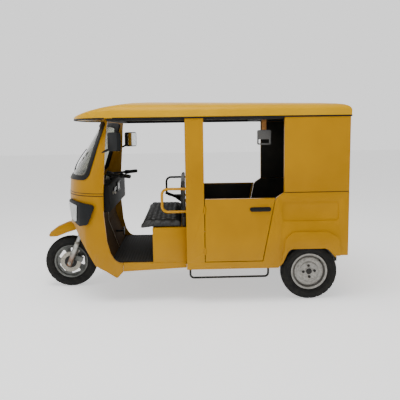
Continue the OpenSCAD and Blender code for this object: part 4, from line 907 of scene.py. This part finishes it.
low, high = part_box("passenger_cushion")
pad = plump("passenger_cushion", lift=0.008, rests=lambda c: c.z < passenger_rest_z, swell=0.020)
sew(pad, lambda c: to_line(c.y, channel), facing_up, depth=0.010, width=0.009)
sew(pad, lambda c: abs(c.x - (high.x - passenger_seam)), facing_up, depth=0.008, width=0.008)
keep_flat(pad, axis=2, level=low.z, reach=0.006)
finish_pad(pad, "passenger_seat_pad", "passenger_cushion")

pad = plump("passenger_backrest", lift=0.008, rests=lambda c: False, swell=0.016)
sew(pad, lambda c: to_line(c.y, channel), facing_front, depth=0.010, width=0.009)
sew(pad, lambda c: abs(c.z - back_seam_z), facing_front, depth=0.008, width=0.008)
finish_pad(pad, "passenger_back_pad", "passenger_backrest")


# Seat roll: a firm roll of felt in the linings' vinyl, laid in the gap between the driver's cushion and
# the partition, under the backrest.
roll_rear, roll_front, roll_half_l, roll_head = 0.0190, 0.0525, 0.575, 0.736
roll_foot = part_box("seat_box")[1].z + 0.0005
roll = board((roll_rear, -roll_half_l, roll_foot), (roll_front, roll_half_l, roll_head), bevel=0.012)
settle(roll, "seat_rear_roll", "body", vinyl_board)


# Arm loops: bent tube bolted to the pillars, in yellow enamel; the far loop is coloured near black, painted
# shade.
# Loop paint: yellow enamel a shade brighter than the body's, with the far loop's near black as painted
# shade.
loop_paint, place = new_finish("baked_loop_enamel", Roughness=0.35, Specular_IOR_Level=0.2)
sides = add(loop_paint, "SeparateXYZ", {}, Vector=place)
scuff = add(loop_paint, "TexNoise", {"Scale": 40, "Detail": 4}, Vector=place)
kerb = add(loop_paint, "Math", {"operation": "GREATER_THAN", 1: 0.5}, i0=sides.outputs["Y"])
yellow_side = add(loop_paint, "ValToRGB", {"stops": [(0.3, "#B07C00"), (0.7, "#B88400")]}, Fac=scuff)
# The far loop's near black is painted shade.
far_loop_painted_shade = add(loop_paint, "ValToRGB", {"stops": [(0.3, "#141312"), (0.7, "#26221C")]}, Fac=scuff)
into_shader(loop_paint, Base_Color=add(
    loop_paint, "MixRGB", {}, Fac=kerb, Color1=far_loop_painted_shade, Color2=yellow_side))
dress(loop_paint, "arm_loops")


# Hand brake gaiter: a bellows moulded in black rubber, drawn over the hand brake lever and clipped to
# the boss at its pivot.
pivot, tip = Vector((0.0175, -0.53, 0.728)), Vector((0.2275, -0.53, 0.813))
gaiter = turned([(0.012, 0.028), (0.034, 0.028), (0.037, 0.033), (0.031, 0.046), (0.034, 0.053),
                 (0.027, 0.065), (0.030, 0.072), (0.022, 0.084), (0.025, 0.091), (0.016, 0.104),
                 (0.016, 0.112), (0.0112, 0.114)], pivot, 32, (tip - pivot).normalized())
settle(gaiter, "hand_brake_gaiter", "body", seal_rubber)


# Door handles: pull bars of black rubber over a steel core, each on a round-ended plate of the same
# rubber, 176 by 38 mm, and screwed to the door from inside.
plate_h, plate_l, plate_t = 0.038, 0.176, 0.003
for side, name in both_sides:
    remade(name + "_door_handle", name + "_door_pull", name + "_door", seal_rubber,
           hem=0.005, segments=3)
    middle = middle_of(name + "_door_handle")
    skin_y = min(abs(corner.y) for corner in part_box(name + "_door_handle"))
    begin()
    bpy.ops.mesh.primitive_cylinder_add(vertices=48, radius=plate_h / 2, depth=plate_t,
                                        location=(middle.x, side * (skin_y + plate_t / 2), middle.z),
                                        rotation=(pi / 2, 0, 0))
    plate = bpy.context.object
    bpy.ops.object.transform_apply()
    for way in (1, -1):
        pick(plate, lambda co: (co.x - middle.x) * way > 0.001, "VERT")
        bpy.ops.transform.translate(value=(way * (plate_l - plate_h) / 2, 0, 0))
    round_edges(plate, width=0.001)
    settle(plate, name + "_door_pull_plate", name + "_door", seal_rubber)


# Mirrors: shells and arms moulded in dark plastic, fixed to the screen pillars, each with a flat
# silvered glass.
# Silvered glass: float glass silvered behind, near a perfect mirror, with faint specks.
silvered_glass, place = new_finish("silvered_glass", Metallic=1)
speck = add(silvered_glass, "TexNoise", {"Scale": 60, "Detail": 4}, Vector=place)
coat(silvered_glass, speck, [(0.3, "#C4CACC"), (0.7, "#DDE1E2")], gloss=(speck, 0.02, 0.08))
remade("mirrors", "mirror_shells", "body", lamp_plastic, hem=0.008, segments=3,
       angle=radians(60))
dress(silvered_glass, "mirror_glasses")


# Hand strap: a loop of tan webbing hung from the roof rail, with a grab handle of grey plastic.
# Webbing: woven polyester, 2 mm ribs drawn at 4 mm, tan, frayed a little lighter at the ribs.
strap_webbing, place = new_finish("woven_webbing", Roughness=0.85, Sheen_Weight=0.3)
warp = add(strap_webbing, "TexWave", {"Scale": 78, "bands_direction": "X"}, Vector=place)
weft = add(strap_webbing, "TexWave", {"Scale": 78, "bands_direction": "Z"}, Vector=place)
weave = add(strap_webbing, "Math", {"operation": "MULTIPLY"}, i0=warp, i1=weft)
coat(strap_webbing, weave, [(0.1, "#8A5720"), (0.8, "#C58B45")], relief=(weave, 0.6, 0.001))
remade("hand_strap", "webbing_loop", "body", strap_webbing, hem=0.0012)
# Grey plastic: moulded polypropylene with a faint grain and a soft sheen.
grey_plastic, place = new_finish("moulded_grey_plastic", Roughness=0.42)
grain = add(grey_plastic, "TexNoise", {"Scale": 150, "Detail": 2}, Vector=place)
coat(grey_plastic, grain, [(0.3, "#4B4A49"), (0.7, "#63625F")], relief=(grain, 0.15, 0.001))
remade("strap_handle", "grab_handle", "body", grey_plastic, hem=0.003, segments=3)


# Tail lamps: one-piece moulded lenses screwed to the rear panel, red above and amber below, prism-ribbed
# across, with a rim round the sunk face.
tail_lens, place = new_finish("moulded_tail_lens", Roughness=0.15, Transmission_Weight=0.1, IOR=1.49)
rise = add(tail_lens, "SeparateXYZ", {}, Vector=place)
share = add(tail_lens, "MapRange", {"From Min": 0.608, "From Max": 0.758}, Value=rise.outputs["Z"])
bands = add(tail_lens, "ValToRGB", {"stops": [(0.0, "#B05A08"), (0.42, "#7A0A08")]}, Fac=share)
bands.color_ramp.interpolation = "CONSTANT"
prism = add(tail_lens, "TexWave", {"Scale": 45, "bands_direction": "Z"}, Vector=place)
into_shader(tail_lens, Base_Color=bands, Normal=add(
    tail_lens, "Bump", {"Strength": 0.4, "Distance": 0.002}, Height=prism))
lens = copy_of("tail_lamps", dissolve=True)
pick(lens, lambda c, n: n.x < -square_on)
bpy.ops.mesh.inset(thickness=0.006)
bpy.ops.mesh.inset(thickness=0.002, depth=-0.003)
round_edges(lens, width=0.0025, angle=radians(50))
settle(lens, "tail_lenses", "body", tail_lens)
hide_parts("tail_lamps")


# Fork and bars: a cast fork with sliding legs, black handlebar tube, ribbed rubber grips and cast
# brake levers, all turning with the steering.
# Polished alloy: bright grey with dull patches, and browned by rust from the axle over its lower 100 mm.
fork_alloy, place = new_finish("polished_alloy", Metallic=0.9)
dull = add(fork_alloy, "TexNoise", {"Scale": 24, "Detail": 5}, Vector=place)
bright_leg = add(fork_alloy, "ValToRGB", {"stops": [(0.3, "#85847F"), (0.72, "#B5B4AE")]}, Fac=dull)
rise = add(fork_alloy, "SeparateXYZ", {}, Vector=place)
near_axle = add(fork_alloy, "MapRange", {"From Min": 0.35, "From Max": 0.27, "To Max": 1.3},
                Value=rise.outputs["Z"])
rusted = add(fork_alloy, "Math", {"operation": "MULTIPLY"}, i0=near_axle, i1=dull)
into_shader(fork_alloy, Base_Color=add(
    fork_alloy, "MixRGB", {"Color2": linear("#6B4324")}, Fac=rusted, Color1=bright_leg),
    Roughness=add(fork_alloy, "MapRange", {"To Min": 0.25, "To Max": 0.5}, Value=dull))
dress(fork_alloy, "fork")
dress(chassis_black, "handlebar")
bar_root, bar_tip, bar_z = (0.5785, 0.2225), (0.506, 0.3315), 1.06


def bar_end(side):
    start = Vector((bar_root[0], bar_root[1] * side, bar_z))
    reach = Vector((bar_tip[0], bar_tip[1] * side, bar_z)) - start
    return start, reach.normalized(), reach.length


grips, grip_pitch = [], 0.011
for side in (1, -1):
    start, along, length = bar_end(side)
    rows = [(0.0125, 0), (0.0195, 0), (0.0195, 0.005)]
    for k in range(10):
        rows += [(0.0160, 0.009 + k * grip_pitch), (0.0172, 0.011 + k * grip_pitch),
                 (0.0172, 0.016 + k * grip_pitch), (0.0160, 0.018 + k * grip_pitch)]
    rows += [(0.0175, length - 0.003), (0.0165, length), (0.0125, length)]
    grips.append(turned(rows, start, 28, along))
settle(joined(grips), "ribbed_grips", "steering", tyre_rubber)
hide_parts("grips")


# Fork fittings: plated collars on the sliders, axle nuts, a sliding caliper on the left leg that
# straddles the brake disc, and brake levers with their switch boxes on the bar.
rake, leg_y, collar_up, nut_y, stub_y = radians(22), 0.088, 0.194, 0.0245, 0.036
leg_up = Vector((-sin(rake), 0, cos(rake)))
collars, nuts = [], []
for side in (1, -1):
    foot = Vector((axle_front.x, leg_y * side, axle_front.z))
    collars.append(turned([(0.0193, 0), (0.0262, 0), (0.0262, 0.007), (0.0240, 0.009), (0.0250, 0.012),
                           (0.0225, 0.018), (0.0193, 0.020)], foot + leg_up * collar_up, 32, leg_up))
    nuts.append(turned([(0, 0), (0.0165, 0), (0.0165, 0.010), (0.0145, 0.0125), (0, 0.0125)],
                       foot + Vector((0, nut_y * side, 0)), 6, (0, side, 0)))
    nuts.append(turned([(0, 0), (0.0075, 0), (0.0075, 0.006), (0.006, 0.0075), (0, 0.0075)],
                       foot + Vector((0, stub_y * side, 0)), 16, (0, side, 0)))
settle(joined(collars), "fork_slider_collars", "steering", zinc_steel)
settle(joined(nuts), "front_axle_nuts", "steering", zinc_steel)
outer_half = ((-0.100, 0.0575, 0.035), (-0.026, 0.0800, 0.085))
bridge = ((-0.099, 0.036, 0.036), (-0.0905, 0.079, 0.084))
inner_half = ((-0.0985, 0.0350, 0.038), (-0.064, 0.0475, 0.082))
caliper = joined([board(lo, hi, bevel=0.004) for lo, hi in (outer_half, bridge, inner_half)])
caliper.rotation_mode = "QUATERNION"
caliper.rotation_quaternion = Quaternion((0, 1, 0), -rake)
caliper.location = axle_front
settle(caliper, "brake_caliper", "steering", cast_alloy)
box_back, pivot_back, lever_r, ball_r = 0.036, 0.018, 0.0042, 0.0075
boxes, levers = [], []
for side in (1, -1):
    start, along = bar_end(side)[:2]
    ahead = Vector((along.y, -along.x, 0)) * side
    boxes.append(turned([(0.0114, 0), (0.018, 0), (0.0205, 0.004), (0.0205, 0.030), (0.018, 0.034),
                         (0.0114, 0.034)], start - along * box_back, 24, along))
    pivot = start - along * pivot_back
    path = [pivot, pivot + ahead * 0.022, pivot + ahead * 0.036 + along * 0.018,
            pivot + ahead * 0.042 + along * 0.05, pivot + ahead * 0.040 + along * 0.11]
    levers.append(bent_rod(path, lever_r))
    begin()
    bpy.ops.mesh.primitive_uv_sphere_add(segments=16, ring_count=10, radius=ball_r, location=path[-1])
    levers.append(bpy.context.object)
settle(joined(boxes), "bar_switch_boxes", "steering", dash_plastic)
settle(joined(levers), "brake_levers", "steering", chassis_black)


# Record of the outer sizes, of the solids and of the dressed vehicle.
size = {"cad": [list(cad_box[0]), list(cad_box[1])], "visual": [list(v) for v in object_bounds()]}
